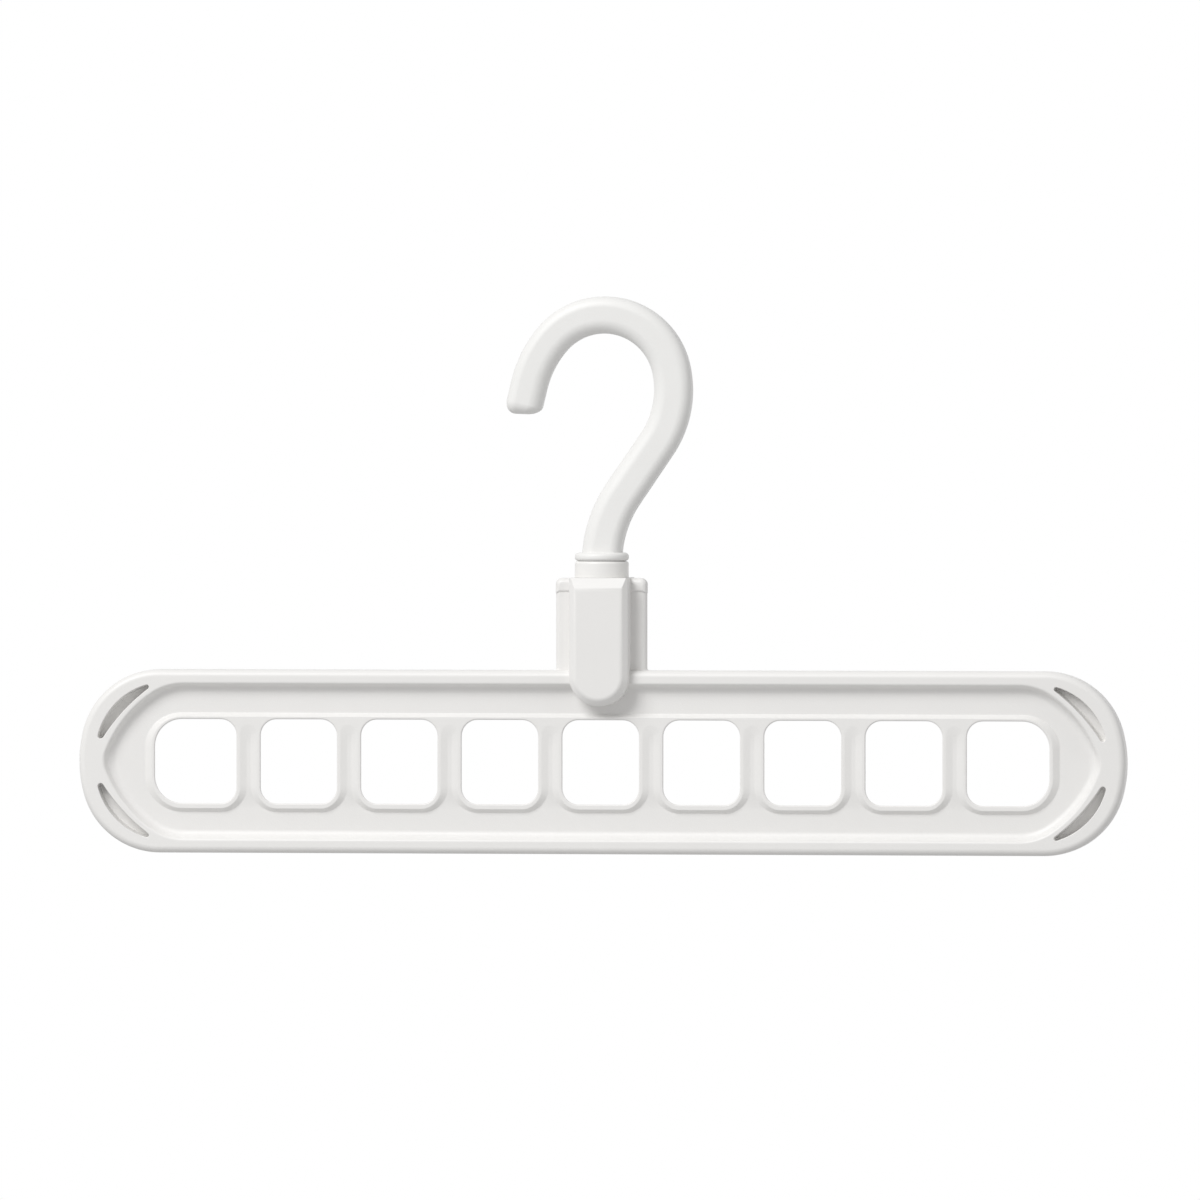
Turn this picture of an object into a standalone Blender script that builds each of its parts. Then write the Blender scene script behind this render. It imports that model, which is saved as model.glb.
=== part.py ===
"""Multi-hole clothes hanger: a frame with nine lipped holes and a hook that swivels on it.

Metres. +X runs along the hanger, the front faces -Y and +Z is up. The origin is the seat inside the
crown of the hook, where a rod carries the hanger. The pieces are modelled about the centre of the
frame, on the swivel axis, and set down from that seat at the end.
"""

import math

import bmesh
import bpy
from mathutils import Matrix, Vector
from mathutils.geometry import delaunay_2d_cdt

# Frame: outer form of the long moulding; the shares are of half its height
BODY_LENGTH = 0.350
BODY_HEIGHT = 0.061
BODY_DEPTH = 0.011
CORNER_CENTRE_SHARE = 0.128  # height of the corner arc's centre
END_SPAN_SHARE = 0.492       # from the corner arc's centre to the blunter end arc's centre
OUTER_EDGE_RADIUS = 0.0019

# Frame: the recess inside the rim, deeper at the back than at the front
RAIL_WIDTH = 0.0065          # outer edge to the foot of the recess wall
END_RIM_WIDTH = 0.0102
FRONT_RECESS_DEPTH = 0.0034
BACK_RECESS_DEPTH = 0.0046
RECESS_CORNER_SHARE = 0.59
RECESS_SETBACK_SHARE = 0.269
RECESS_SIDE_SHARE = 1.312
RECESS_POINT_SHARE = 0.374
RECESS_WALL_RUN = 0.0020
POINT_PINCH_SHARE = 2        # how fast the recess sharpens at its two points, up the wall
RECESS_TOP_RADIUS = 0.0007
RECESS_FOOT_RADIUS = 0.0010

# Frame: the nine holes, which widen backwards, and the raised lip round them at the front
HOLE_COUNT = 9
HOLE_ROW_SETBACK = 0.0255    # end of the frame to the first hole
HOLE_RAIL_GAP = 0.0166       # long edge of the frame to a hole
HOLE_GAP = 0.00834           # between neighbouring holes
HOLE_CORNER_SHARE = 0.19     # corner radius as a share of the hole's height
END_HOLE_EXTRA = 0.00185
END_HOLE_CORNER_SHARE = 0.324
HOLE_EDGE_RADIUS = 0.0010
HOLE_BACK_RADIUS = 0.0004
HOLE_FLARE = 0.0008
LIP_WIDTH = 0.0022
LIP_STAND = 0.0026
LIP_WALL_RUN = 0.0013
LIP_TOP_RADIUS = 0.0008
LIP_FOOT_RADIUS = 0.0006
VALLEY_HEAD_DROP = 0.0012    # centre of a valley's round head below the top of the holes
VALLEY_RAMP = 0.0040

# Frame: the blind crescent pockets in the end rims; the shares are of half the frame's height
CRESCENT_LAND = 0.00273
CRESCENT_IN_SHARE = 0.0796
CRESCENT_DOWN_SHARE = 0.0453
CRESCENT_RIDGE = 0.00107     # flat ridge between a pocket and the recess wall at its narrowest
CRESCENT_INNER_SHARE = 2.133
CRESCENT_LEAN = math.radians(46.9)
CRESCENT_LOW_CAP_SHARE = 0.023
CRESCENT_HIGH_CAP_SHARE = 0.0148
CRESCENT_DRAFT = 0.0003

# Swivel sleeve, shank and snap ring, on the swivel axis
CLEARANCE = 0.0003
NECK_RADIUS = 0.00895
NECK_HEIGHT = 0.0047
NECK_EDGE = 0.0004
NECK_FLANGE = 0.00245        # how far the neck stands out from the sleeve's tube
SLEEVE_LENGTH = 0.0220
SLEEVE_WALL = 0.0022
SHANK_TAIL = 0.0022          # shank below the snap ring's groove
SHANK_CHAMFER = 0.0008
GROOVE_DEPTH = 0.0010
RING_THICKNESS = 0.0010
RING_STAND = 0.0015          # how far the ring stands out of its groove past the shank
RING_MOUTH = math.radians(70)
BORE_RUNOUT = 0.0020

# Frame: the tower, two wings with a square barrel between them
TOWER_RISE = 0.0308
WING_WIDTH = 0.0054
WING_DEPTH = 0.0060
WING_CORNER_RADIUS = 0.0012
WING_EDGE_RADIUS = 0.0006
WING_SIDE_RIM = 0.0015
WING_TOP_RIM = 0.0041
WING_POCKET_DEPTH = 0.0016
WING_POCKET_RADIUS = 0.0010
WING_FOOT_RADIUS = 0.0010
WING_FOOT_SINK = 0.0001
BARREL_SIDE_LAND = 0.00095   # barrel beside the neck
BARREL_CHAMFER = 0.0024
BARREL_DROP = 0.0118         # round lower end below the top of the frame
BARREL_TOP_LEDGE = 0.0001    # flat left in front of the neck
BARREL_BEVEL_RUN = 0.00175
BARREL_BEVEL_HEIGHT = 0.0039

# Hook: collar and gooseneck
COLLAR_OVERHANG = 0.00005
COLLAR_HEIGHT = 0.0025
COLLAR_EDGE_RADIUS = 0.0009
STEP_INSET = 0.0020
STEP_HEIGHT = 0.0005
HOOK_SET = 0.00017           # base of the gooseneck to the right of the swivel axis
HOOK_LEAN = math.radians(4.9)
STEM_RADIUS = 0.0409
STEM_TURN = math.radians(29.5)
STEM_STRAIGHT = 0.020
SHOULDER_RADIUS = 0.032
SHOULDER_TURN = math.radians(47.1)
CROWN_RADIUS = 0.0228
CROWN_TURN = math.radians(126.7)
BEAK_RADIUS = 0.0387
BEAK_TURN = math.radians(25.8)
BEAK_STRAIGHT = 0.0088
HOOK_WIDTH = 0.0130
HOOK_DEPTH = 0.0122
HOOK_TAPER = 0.0010          # how much slimmer the tip is than the base
HOOK_CORNER_RADIUS = 0.0032
HOOK_TIP_ROUND = 0.0028
HOOK_ROOT = 0.0012           # gooseneck sunk into its collar

# Segments along the round stretches
EDGE_STEPS = 2
CORNER_STEPS = 4
END_STEPS = 6
BARREL_STEPS = 16
CROWN_STEPS = 14
TURNED_SIDES = 40
WELD_DISTANCE = 0.000001
CUTTER_OVERRUN = 0.002

# Sizes and heights that follow from those
HALF_DEPTH = BODY_DEPTH / 2
HALF_HEIGHT = BODY_HEIGHT / 2
FRONT_FLOOR = HALF_DEPTH - FRONT_RECESS_DEPTH
BACK_FLOOR = HALF_DEPTH - BACK_RECESS_DEPTH
LIP_LEVEL = FRONT_FLOOR + LIP_STAND
CORNER_CENTRE_RISE = CORNER_CENTRE_SHARE * HALF_HEIGHT
END_CENTRE_SPAN = END_SPAN_SHARE * HALF_HEIGHT
RECESS_CORNER_RADIUS = RECESS_CORNER_SHARE * HALF_HEIGHT
RECESS_SIDE_RADIUS = RECESS_SIDE_SHARE * HALF_HEIGHT
RECESS_POINT_RADIUS = RECESS_POINT_SHARE * HALF_HEIGHT
HOLE_HEIGHT = BODY_HEIGHT - 2 * HOLE_RAIL_GAP
HOLE_ROW = BODY_LENGTH - 2 * HOLE_ROW_SETBACK - 2 * END_HOLE_EXTRA
HOLE_WIDTH = (HOLE_ROW - (HOLE_COUNT - 1) * HOLE_GAP) / HOLE_COUNT
HOLE_PITCH = HOLE_WIDTH + HOLE_GAP
SLEEVE_RADIUS = NECK_RADIUS - NECK_FLANGE
BORE_RADIUS = SLEEVE_RADIUS + CLEARANCE
SLEEVE_BORE = SLEEVE_RADIUS - SLEEVE_WALL
SHANK_RADIUS = SLEEVE_BORE - CLEARANCE
GROOVE_RADIUS = SHANK_RADIUS - GROOVE_DEPTH
RING_RADIUS = SHANK_RADIUS + RING_STAND
COLLAR_RADIUS = NECK_RADIUS + COLLAR_OVERHANG
STEP_RADIUS = COLLAR_RADIUS - STEP_INSET
BARREL_HALF_WIDTH = NECK_RADIUS + BARREL_SIDE_LAND
BARREL_HALF_DEPTH = NECK_RADIUS + BARREL_TOP_LEDGE + BARREL_BEVEL_RUN
WING_HALF_SPAN = BARREL_HALF_WIDTH + WING_WIDTH
TOWER_TOP = HALF_HEIGHT + TOWER_RISE
NECK_BASE = TOWER_TOP + CLEARANCE
STEP_BASE = NECK_BASE + NECK_HEIGHT + CLEARANCE
COLLAR_BASE = STEP_BASE + STEP_HEIGHT
COLLAR_TOP = COLLAR_BASE + COLLAR_HEIGHT
SLEEVE_FOOT = NECK_BASE - SLEEVE_LENGTH
RING_TOP = SLEEVE_FOOT - CLEARANCE
RING_FOOT = RING_TOP - RING_THICKNESS
SHANK_FOOT = RING_FOOT - CLEARANCE - SHANK_TAIL


def clear_scene():
    """Start from an empty scene."""
    for found in list(bpy.data.objects):
        bpy.data.objects.remove(found, do_unlink=True)


def on_circle(centre, radius, angle):
    """The point of a circle at an angle."""
    return (centre[0] + radius * math.cos(angle), centre[1] + radius * math.sin(angle))


def arc(centre, radius, start, end, steps=CORNER_STEPS):
    """Points along a circle from one angle to another, both ends included."""
    return [on_circle(centre, radius, start + (end - start) * i / steps) for i in range(steps + 1)]


def meeting_point(first, first_radius, second, second_radius):
    """The point at given distances from two others, on the right of the way from the first to the second."""
    first, second = Vector(first), Vector(second)
    span = (second - first).length
    along = (first_radius ** 2 - second_radius ** 2 + span ** 2) / (2 * span)
    across = math.sqrt(first_radius ** 2 - along ** 2)
    unit = (second - first) / span
    return first + unit * along + Vector((unit.y, -unit.x)) * across


def bearing(start, end):
    """Angle of the way from one point to another."""
    return math.atan2(end[1] - start[1], end[0] - start[0])


def four_fold(quarter):
    """A closed outline from its upper right quarter, which starts on the middle line."""
    upper = quarter + [(-x, z) for x, z in reversed(quarter)]
    return upper + [(x, -z) for x, z in reversed(upper[1:-1])]


def corner_round(before, corner, after, radius, steps=EDGE_STEPS):
    """Points of a fillet at one corner of a section line."""
    corner = Vector(corner)
    to_before = (Vector(before) - corner).normalized()
    to_after = (Vector(after) - corner).normalized()
    half_angle = to_before.angle(to_after) / 2
    centre = corner + (to_before + to_after).normalized() * radius / math.sin(half_angle)
    reach = radius / math.tan(half_angle)
    first = corner + to_before * reach - centre
    last = corner + to_after * reach - centre
    full = first.angle_signed(last)
    turns = [Matrix.Rotation(-full * i / steps, 2) for i in range(steps + 1)]
    return [tuple(centre + turn @ first) for turn in turns]


def body_end_centres():
    """Centres of the end arc and the corner arc of the right end, and the angle where they meet."""
    corner_radius = HALF_HEIGHT - CORNER_CENTRE_RISE
    end_radius = corner_radius + END_CENTRE_SPAN
    end_centre = (BODY_LENGTH / 2 - end_radius, 0)
    meet = math.asin(CORNER_CENTRE_RISE / END_CENTRE_SPAN)
    corner_centre = on_circle(end_centre, END_CENTRE_SPAN, meet)
    return end_centre, end_radius, corner_centre, corner_radius, meet


def body_outline(grow):
    """Silhouette of the frame, moved outwards."""
    end_centre, end_radius, corner_centre, corner_radius, meet = body_end_centres()
    end = arc(end_centre, end_radius + grow, 0, meet, EDGE_STEPS)
    corner = arc(corner_centre, corner_radius + grow, meet, math.pi / 2, END_STEPS)
    return four_fold(end + corner[1:])


def recess_centres():
    """Centres of the corner, side and point arcs of the recess: the side arc touches the others."""
    corner_x = body_end_centres()[2][0] - RECESS_SETBACK_SHARE * HALF_HEIGHT
    corner = (corner_x, HALF_HEIGHT - RAIL_WIDTH - RECESS_CORNER_RADIUS)
    point = (BODY_LENGTH / 2 - END_RIM_WIDTH - RECESS_POINT_RADIUS, 0)
    from_corner = RECESS_SIDE_RADIUS - RECESS_CORNER_RADIUS
    from_point = RECESS_SIDE_RADIUS - RECESS_POINT_RADIUS
    return corner, meeting_point(corner, from_corner, point, from_point), point


def recess_outline(grow):
    """Foot of the recess wall, moved outwards. Its two points sharpen as it grows."""
    corner, side = recess_centres()[:2]
    point_radius = RECESS_POINT_RADIUS - POINT_PINCH_SHARE * grow
    reach = RECESS_SIDE_RADIUS + grow - point_radius
    point = (side.x + math.sqrt(reach ** 2 - side.y ** 2), 0)
    point_angle = bearing(side, point)
    corner_angle = bearing(side, corner)
    tip = arc(point, point_radius, 0, point_angle)
    flank = arc(side, RECESS_SIDE_RADIUS + grow, point_angle, corner_angle)
    head = arc(corner, RECESS_CORNER_RADIUS + grow, corner_angle, math.pi / 2)
    return four_fold(tip + flank[1:] + head[1:])


def hole_sides(index):
    """Left and right edge of a hole, and the corner radius at each; the end holes reach further out."""
    middle = (index - (HOLE_COUNT - 1) / 2) * HOLE_PITCH
    left, right = middle - HOLE_WIDTH / 2, middle + HOLE_WIDTH / 2
    left_radius = right_radius = HOLE_CORNER_SHARE * HOLE_HEIGHT
    if index == 0:
        left, left_radius = left - END_HOLE_EXTRA, END_HOLE_CORNER_SHARE * HOLE_HEIGHT
    if index == HOLE_COUNT - 1:
        right, right_radius = right + END_HOLE_EXTRA, END_HOLE_CORNER_SHARE * HOLE_HEIGHT
    return left, right, left_radius, right_radius


def hole_outline(index, grow):
    """Edge of one hole, moved outwards."""
    left, right, left_radius, right_radius = hole_sides(index)
    rise = HOLE_HEIGHT / 2
    upper = arc((right - right_radius, rise - right_radius), right_radius + grow, 0, math.pi / 2)
    upper += arc((left + left_radius, rise - left_radius), left_radius + grow, math.pi / 2, math.pi)
    return upper + [(x, -z) for x, z in reversed(upper)]


def lip_outline(grow):
    """Top edge of the lip round all the holes, moved outwards.

    Its upper side runs straight from end to end. From below, a valley with a round head parts each
    hole's lip from the next one's.
    """
    margin = LIP_WIDTH + grow
    rise = HOLE_HEIGHT / 2
    head_z = rise - VALLEY_HEAD_DROP - VALLEY_RAMP * max(grow, 0) / LIP_WALL_RUN
    loop = []
    for index in range(HOLE_COUNT):
        left, right, left_radius, right_radius = hole_sides(index)
        low_left = (left + left_radius, left_radius - rise)
        low_right = (right - right_radius, right_radius - rise)
        loop += arc(low_left, left_radius + margin, math.pi, 1.5 * math.pi)
        loop += arc(low_right, right_radius + margin, -math.pi / 2, 0)
        if index < HOLE_COUNT - 1:
            loop += arc((right + HOLE_GAP / 2, head_z), HOLE_GAP / 2 - margin, math.pi, 0)
    left, right, left_radius, right_radius = hole_sides(HOLE_COUNT - 1)
    loop += arc((right - right_radius, rise - right_radius), right_radius + margin, 0, math.pi / 2)
    left, right, left_radius, right_radius = hole_sides(0)
    loop += arc((left + left_radius, rise - left_radius), left_radius + margin, math.pi / 2, math.pi)
    return loop


def crescent_outline(grow):
    """Upper right crescent pocket at its floor, moved outwards.

    It lies between an arc a little inside the corner of the frame and a flatter arc beside the recess
    wall, and a small round cap touches both of them at each end.
    """
    corner_centre, corner_radius = body_end_centres()[2:4]
    side = recess_centres()[1]
    in_shift, down_shift = CRESCENT_IN_SHARE * HALF_HEIGHT, CRESCENT_DOWN_SHARE * HALF_HEIGHT
    outer_centre = (corner_centre[0] - in_shift, corner_centre[1] - down_shift)
    outer_radius = corner_radius - CRESCENT_LAND - CRESCENT_DRAFT
    ridge = RECESS_SIDE_RADIUS + RECESS_WALL_RUN + CRESCENT_RIDGE + CRESCENT_DRAFT
    inner_radius = CRESCENT_INNER_SHARE * HALF_HEIGHT
    inner_centre = on_circle(side, ridge - inner_radius, CRESCENT_LEAN)
    low_cap = CRESCENT_LOW_CAP_SHARE * HALF_HEIGHT
    high_cap = CRESCENT_HIGH_CAP_SHARE * HALF_HEIGHT
    low = meeting_point(inner_centre, inner_radius + low_cap, outer_centre, outer_radius - low_cap)
    high = meeting_point(outer_centre, outer_radius - high_cap, inner_centre, inner_radius + high_cap)
    outer_low, outer_high = bearing(outer_centre, low), bearing(outer_centre, high)
    inner_low, inner_high = bearing(inner_centre, low), bearing(inner_centre, high)
    loop = arc(outer_centre, outer_radius + grow, outer_low, outer_high, END_STEPS)
    loop += arc(high, high_cap + grow, outer_high, inner_high + math.pi)[1:-1]
    loop += arc(inner_centre, inner_radius - grow, inner_high, inner_low)
    loop += arc(low, low_cap + grow, inner_low - math.pi, outer_low)[1:-1]
    return loop


def new_loop(mesh, outline, depth):
    """A closed loop of vertices from an outline in X and Z, set forwards by a depth."""
    return [mesh.verts.new((x, -depth, z)) for x, z in outline]


def bridge(mesh, first, second):
    """Faces between two loops with as many points."""
    count = len(first)
    for i in range(count):
        j = (i + 1) % count
        mesh.faces.new((first[i], first[j], second[j], second[i]))


def ring(mesh, outline, section):
    """A wall that follows an outline through a section of offsets and depths; gives its end loops."""
    loops = [new_loop(mesh, outline(grow), depth) for grow, depth in section]
    for first, second in zip(loops, loops[1:]):
        bridge(mesh, first, second)
    return loops[0], loops[-1]


def crossings(x, z, edges):
    """How many edges a ray to the right of a point meets: an odd number means that it lies inside."""
    count = 0
    for first, second in edges:
        if (first.y > z) != (second.y > z):
            share = (z - first.y) / (second.y - first.y)
            count += first.x + (second.x - first.x) * share > x
    return count


def fill_flat(mesh, loops):
    """Flat faces inside an outline and outside its holes, in the X-Z plane."""
    verts = [vert for loop in loops for vert in loop]
    flat = [Vector((vert.co.x, vert.co.z)) for vert in verts]
    edges = []
    for loop in loops:
        first = len(edges)
        edges += [(first + i, first + (i + 1) % len(loop)) for i in range(len(loop))]
    walls = [(flat[first], flat[second]) for first, second in edges]
    cells = delaunay_2d_cdt(flat, edges, [], 1, WELD_DISTANCE / 10)
    for cell in cells[2]:
        corners = [cells[3][index][0] for index in cell]
        middle = sum((flat[index] for index in corners), Vector((0, 0))) / len(corners)
        if crossings(middle.x, middle.y, walls) % 2:
            mesh.faces.new([verts[index] for index in corners])


def backwards(section):
    """The same section seen from the back."""
    return [(grow, -depth) for grow, depth in section]


def mirror_back(mesh):
    """Complete a front half, open on the middle plane, with its mirror image."""
    everything = mesh.verts[:] + mesh.edges[:] + mesh.faces[:]
    bmesh.ops.mirror(mesh, geom=everything, matrix=Matrix.Identity(4), merge_dist=WELD_DISTANCE, axis="Y")


def finish_mesh(mesh, name, sharp_angle=math.radians(35)):
    """An object from a finished body, with its faces outwards and its round stretches smooth."""
    bmesh.ops.recalc_face_normals(mesh, faces=mesh.faces[:])
    data = bpy.data.meshes.new(name)
    mesh.to_mesh(data)
    mesh.free()
    data.shade_smooth()
    data.set_sharp_from_angle(angle=sharp_angle)
    made = bpy.data.objects.new(name, data)
    bpy.context.collection.objects.link(made)
    return made


def plastic(name, colour, roughness):
    """An opaque moulded plastic."""
    material = bpy.data.materials.new(name)
    material.use_nodes = True
    shader = material.node_tree.nodes["Principled BSDF"]
    shader.inputs["Base Color"].default_value = (*colour, 1)
    shader.inputs["Roughness"].default_value = roughness
    shader.inputs["Metallic"].default_value = 0
    return material


def combine(target, tool, operation):
    """Join a helper body to a piece, or cut it out, and keep the helper out of sight."""
    tool.hide_render = True
    tool.display_type = "WIRE"
    tool.parent = target
    modifier = target.modifiers.new(tool.name, "BOOLEAN")
    modifier.operation = operation
    modifier.solver = "EXACT"
    modifier.object = tool


def mirrored(outline, flip_x, flip_z):
    """An outline mirrored left to right or top to bottom."""
    x_sign = -1 if flip_x else 1
    z_sign = -1 if flip_z else 1
    return [(x * x_sign, z * z_sign) for x, z in outline]


def recess_wall(floor):
    """Section of the recess wall, from the rim's face down to the floor."""
    top, foot = (RECESS_WALL_RUN, HALF_DEPTH), (0, floor)
    upper = corner_round((RAIL_WIDTH, HALF_DEPTH), top, foot, RECESS_TOP_RADIUS)
    return upper + corner_round(top, foot, (-RAIL_WIDTH, floor), RECESS_FOOT_RADIUS)


def lip_wall():
    """Section of the outer side of the lip, from the web up to the lip's face."""
    foot, top = (LIP_WALL_RUN, FRONT_FLOOR), (0, LIP_LEVEL)
    lower = corner_round((RAIL_WIDTH, FRONT_FLOOR), foot, top, LIP_FOOT_RADIUS)
    return lower + corner_round(foot, top, (-LIP_WIDTH, LIP_LEVEL), LIP_TOP_RADIUS)


def hole_wall():
    """Section of a hole's wall, from the lip's face through to the back of the web."""
    front, back = (0, LIP_LEVEL), (HOLE_FLARE, -BACK_FLOOR)
    upper = corner_round((LIP_WIDTH, LIP_LEVEL), front, back, HOLE_EDGE_RADIUS)
    return upper + corner_round(front, back, (LIP_WIDTH, -BACK_FLOOR), HOLE_BACK_RADIUS)


def crescent_pockets(mesh, section):
    """The four blind crescent pockets of one face; gives the edges of their mouths."""
    mouths = []
    for flip_x in (False, True):
        for flip_z in (False, True):
            mouth, floor = ring(mesh, lambda grow: mirrored(crescent_outline(grow), flip_x, flip_z), section)
            fill_flat(mesh, [floor])
            mouths.append(mouth)
    return mouths


def frame_plate():
    """The long moulding without its tower: rim, recess, web, lips, holes and crescent pockets."""
    mesh = bmesh.new()
    edge = corner_round((0, 0), (0, HALF_DEPTH), (-RAIL_WIDTH, HALF_DEPTH), OUTER_EDGE_RADIUS)
    rim_back, rim_front = ring(mesh, body_outline, backwards(edge[::-1]) + edge)
    for rim, floor, turn in ((rim_front, FRONT_FLOOR, list), (rim_back, BACK_FLOOR, backwards)):
        recess_mouth, web_edge = ring(mesh, recess_outline, turn(recess_wall(floor)))
        pocket = [(CRESCENT_DRAFT, HALF_DEPTH), (0, floor)]
        fill_flat(mesh, [rim, recess_mouth] + crescent_pockets(mesh, turn(pocket)))
        if rim is rim_front:
            front_web = web_edge
        else:
            back_web = web_edge
    lip_foot, lip_edge = ring(mesh, lip_outline, lip_wall())
    holes = [ring(mesh, lambda grow, i=i: hole_outline(i, grow), hole_wall()) for i in range(HOLE_COUNT)]
    fill_flat(mesh, [front_web, lip_foot])
    fill_flat(mesh, [lip_edge] + [front for front, back in holes])
    fill_flat(mesh, [back_web] + [back for front, back in holes])
    return finish_mesh(mesh, "hanger_body")


def wing_outline(grow):
    """Outline of both wings in one plate, flared into the top of the frame with small fillets."""
    root = HALF_HEIGHT - RAIL_WIDTH / 2
    foot_centre = (WING_HALF_SPAN + WING_FOOT_RADIUS, HALF_HEIGHT + WING_FOOT_RADIUS - WING_FOOT_SINK)
    top_centre = (WING_HALF_SPAN - WING_CORNER_RADIUS, TOWER_TOP - WING_CORNER_RADIUS)
    foot = arc(foot_centre, WING_FOOT_RADIUS - grow, 1.5 * math.pi, math.pi)
    top = arc(top_centre, WING_CORNER_RADIUS + grow, 0, math.pi / 2)
    right = [(foot_centre[0], root)] + foot + top
    return right + [(-x, z) for x, z in reversed(right)]


def wing_pocket_outline(grow):
    """Outline of the recess in the face of the wings, open into the frame below."""
    half_span = WING_HALF_SPAN - WING_SIDE_RIM
    root = HALF_HEIGHT - RAIL_WIDTH / 4
    top_centre = (half_span - WING_POCKET_RADIUS, TOWER_TOP - WING_TOP_RIM - WING_POCKET_RADIUS)
    top = arc(top_centre, WING_POCKET_RADIUS + grow, 0, math.pi / 2)
    right = [(half_span + grow, root)] + top
    return right + [(-x, z) for x, z in reversed(right)]


def wings():
    """The plate of the tower, rimmed at the sides and the top."""
    mesh = bmesh.new()
    half = WING_DEPTH / 2
    edge = [(0, 0)] + corner_round((0, 0), (0, half), (-WING_SIDE_RIM, half), WING_EDGE_RADIUS)
    face = ring(mesh, wing_outline, edge)[1]
    mouth, floor = ring(mesh, wing_pocket_outline, [(0, half), (0, half - WING_POCKET_DEPTH)])
    fill_flat(mesh, [face, mouth])
    fill_flat(mesh, [floor])
    mirror_back(mesh)
    return finish_mesh(mesh, "wings")


def barrel_outline(grow):
    """Front view of the barrel: straight sides, a flat top and a half-round lower end."""
    reach = BARREL_HALF_WIDTH + grow
    centre = (0, HALF_HEIGHT - BARREL_DROP + BARREL_HALF_WIDTH)
    lower_end = arc(centre, reach, math.pi, 2 * math.pi, BARREL_STEPS)
    return lower_end + [(reach, TOWER_TOP), (-reach, TOWER_TOP)]


def bevel_top(mesh, side):
    """Slope the top of the barrel off towards its front or its back."""
    edge = Vector((0, side * (BARREL_HALF_DEPTH - BARREL_BEVEL_RUN), TOWER_TOP))
    outwards = Vector((0, side * BARREL_BEVEL_HEIGHT, BARREL_BEVEL_RUN)).normalized()
    everything = mesh.verts[:] + mesh.edges[:] + mesh.faces[:]
    bmesh.ops.bisect_plane(
        mesh, geom=everything, dist=WELD_DISTANCE, plane_co=edge, plane_no=outwards, clear_outer=True)
    cut = [found for found in mesh.edges if found.is_boundary]
    bmesh.ops.holes_fill(mesh, edges=cut)


def barrel():
    """The square barrel that holds the swivel, chamfered all round its front and back."""
    mesh = bmesh.new()
    section = [(0, 0), (0, BARREL_HALF_DEPTH - BARREL_CHAMFER), (-BARREL_CHAMFER, BARREL_HALF_DEPTH)]
    face = ring(mesh, barrel_outline, section)[1]
    fill_flat(mesh, [face])
    mirror_back(mesh)
    for side in (-1, 1):
        bevel_top(mesh, side)
    return finish_mesh(mesh, "barrel")


def turned(name, profile, closed):
    """A turned body from its radii and heights; a closed profile gives a bored piece."""
    mesh = bmesh.new()
    rings = []
    for radius, height in profile:
        angles = [2 * math.pi * i / TURNED_SIDES for i in range(TURNED_SIDES)]
        rings.append([mesh.verts.new((*on_circle((0, 0), radius, angle), height)) for angle in angles])
    for first, second in zip(rings, rings[1:]):
        bridge(mesh, first, second)
    if closed:
        bridge(mesh, rings[-1], rings[0])
    else:
        mesh.faces.new(rings[0])
        mesh.faces.new(rings[-1])
    return finish_mesh(mesh, name)


def hanger_body():
    """The whole frame moulding: plate, wings and barrel in one, with the blind bore for the sleeve."""
    body = frame_plate()
    bore_foot = SHANK_FOOT - BORE_RUNOUT
    bore = turned("bore", [(BORE_RADIUS, bore_foot), (BORE_RADIUS, TOWER_TOP + CUTTER_OVERRUN)], False)
    combine(body, wings(), "UNION")
    combine(body, barrel(), "UNION")
    combine(body, bore, "DIFFERENCE")
    body.data.materials.append(plastic("frame_plastic", (0.82, 0.82, 0.81), 0.38))
    return body


def swivel_sleeve():
    """The bush: a round neck that sits on the barrel and a tube that fills its bore."""
    neck_top = NECK_BASE + NECK_HEIGHT
    profile = [
        (SLEEVE_BORE, SLEEVE_FOOT),
        (SLEEVE_RADIUS, SLEEVE_FOOT),
        (SLEEVE_RADIUS, NECK_BASE),
        (NECK_RADIUS, NECK_BASE),
        (NECK_RADIUS, neck_top - NECK_EDGE),
        (NECK_RADIUS - NECK_EDGE, neck_top),
        (SLEEVE_BORE, neck_top),
    ]
    sleeve = turned("swivel_sleeve", profile, True)
    sleeve.data.materials.append(plastic("sleeve_plastic", (0.80, 0.80, 0.785), 0.35))
    return sleeve


def retaining_ring():
    """The snap ring: a flat C that springs into the groove of the shank, under the sleeve."""
    start = (RING_MOUTH - math.pi) / 2
    end = 1.5 * math.pi - RING_MOUTH / 2
    outer = arc((0, 0), RING_RADIUS, start, end, TURNED_SIDES // 2)
    inner = arc((0, 0), GROOVE_RADIUS + CLEARANCE, end, start, TURNED_SIDES // 2)
    mesh = bmesh.new()
    low = [mesh.verts.new((x, y, RING_FOOT)) for x, y in outer + inner]
    high = [mesh.verts.new((x, y, RING_TOP)) for x, y in outer + inner]
    bridge(mesh, low, high)
    count = len(outer)
    for level in (low, high):
        near, far = level[:count], level[:count - 1:-1]
        for i in range(count - 1):
            mesh.faces.new((near[i], near[i + 1], far[i + 1], far[i]))
    clip = finish_mesh(mesh, "retaining_ring")
    clip.data.materials.append(plastic("ring_plastic", (0.72, 0.72, 0.70), 0.45))
    return clip


def walk_arc(way, radius, turn, steps):
    """Lengthen the hook's centre line by an arc; a positive turn bends to the right."""
    x, z, heading, length = way[-1]
    side = math.copysign(1, turn)
    centre = (x + side * radius * math.cos(heading), z - side * radius * math.sin(heading))
    for i in range(1, steps + 1):
        facing = heading + turn * i / steps
        x = centre[0] - side * radius * math.cos(facing)
        z = centre[1] + side * radius * math.sin(facing)
        way.append((x, z, facing, length + radius * abs(turn) * i / steps))
    return centre


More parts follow.
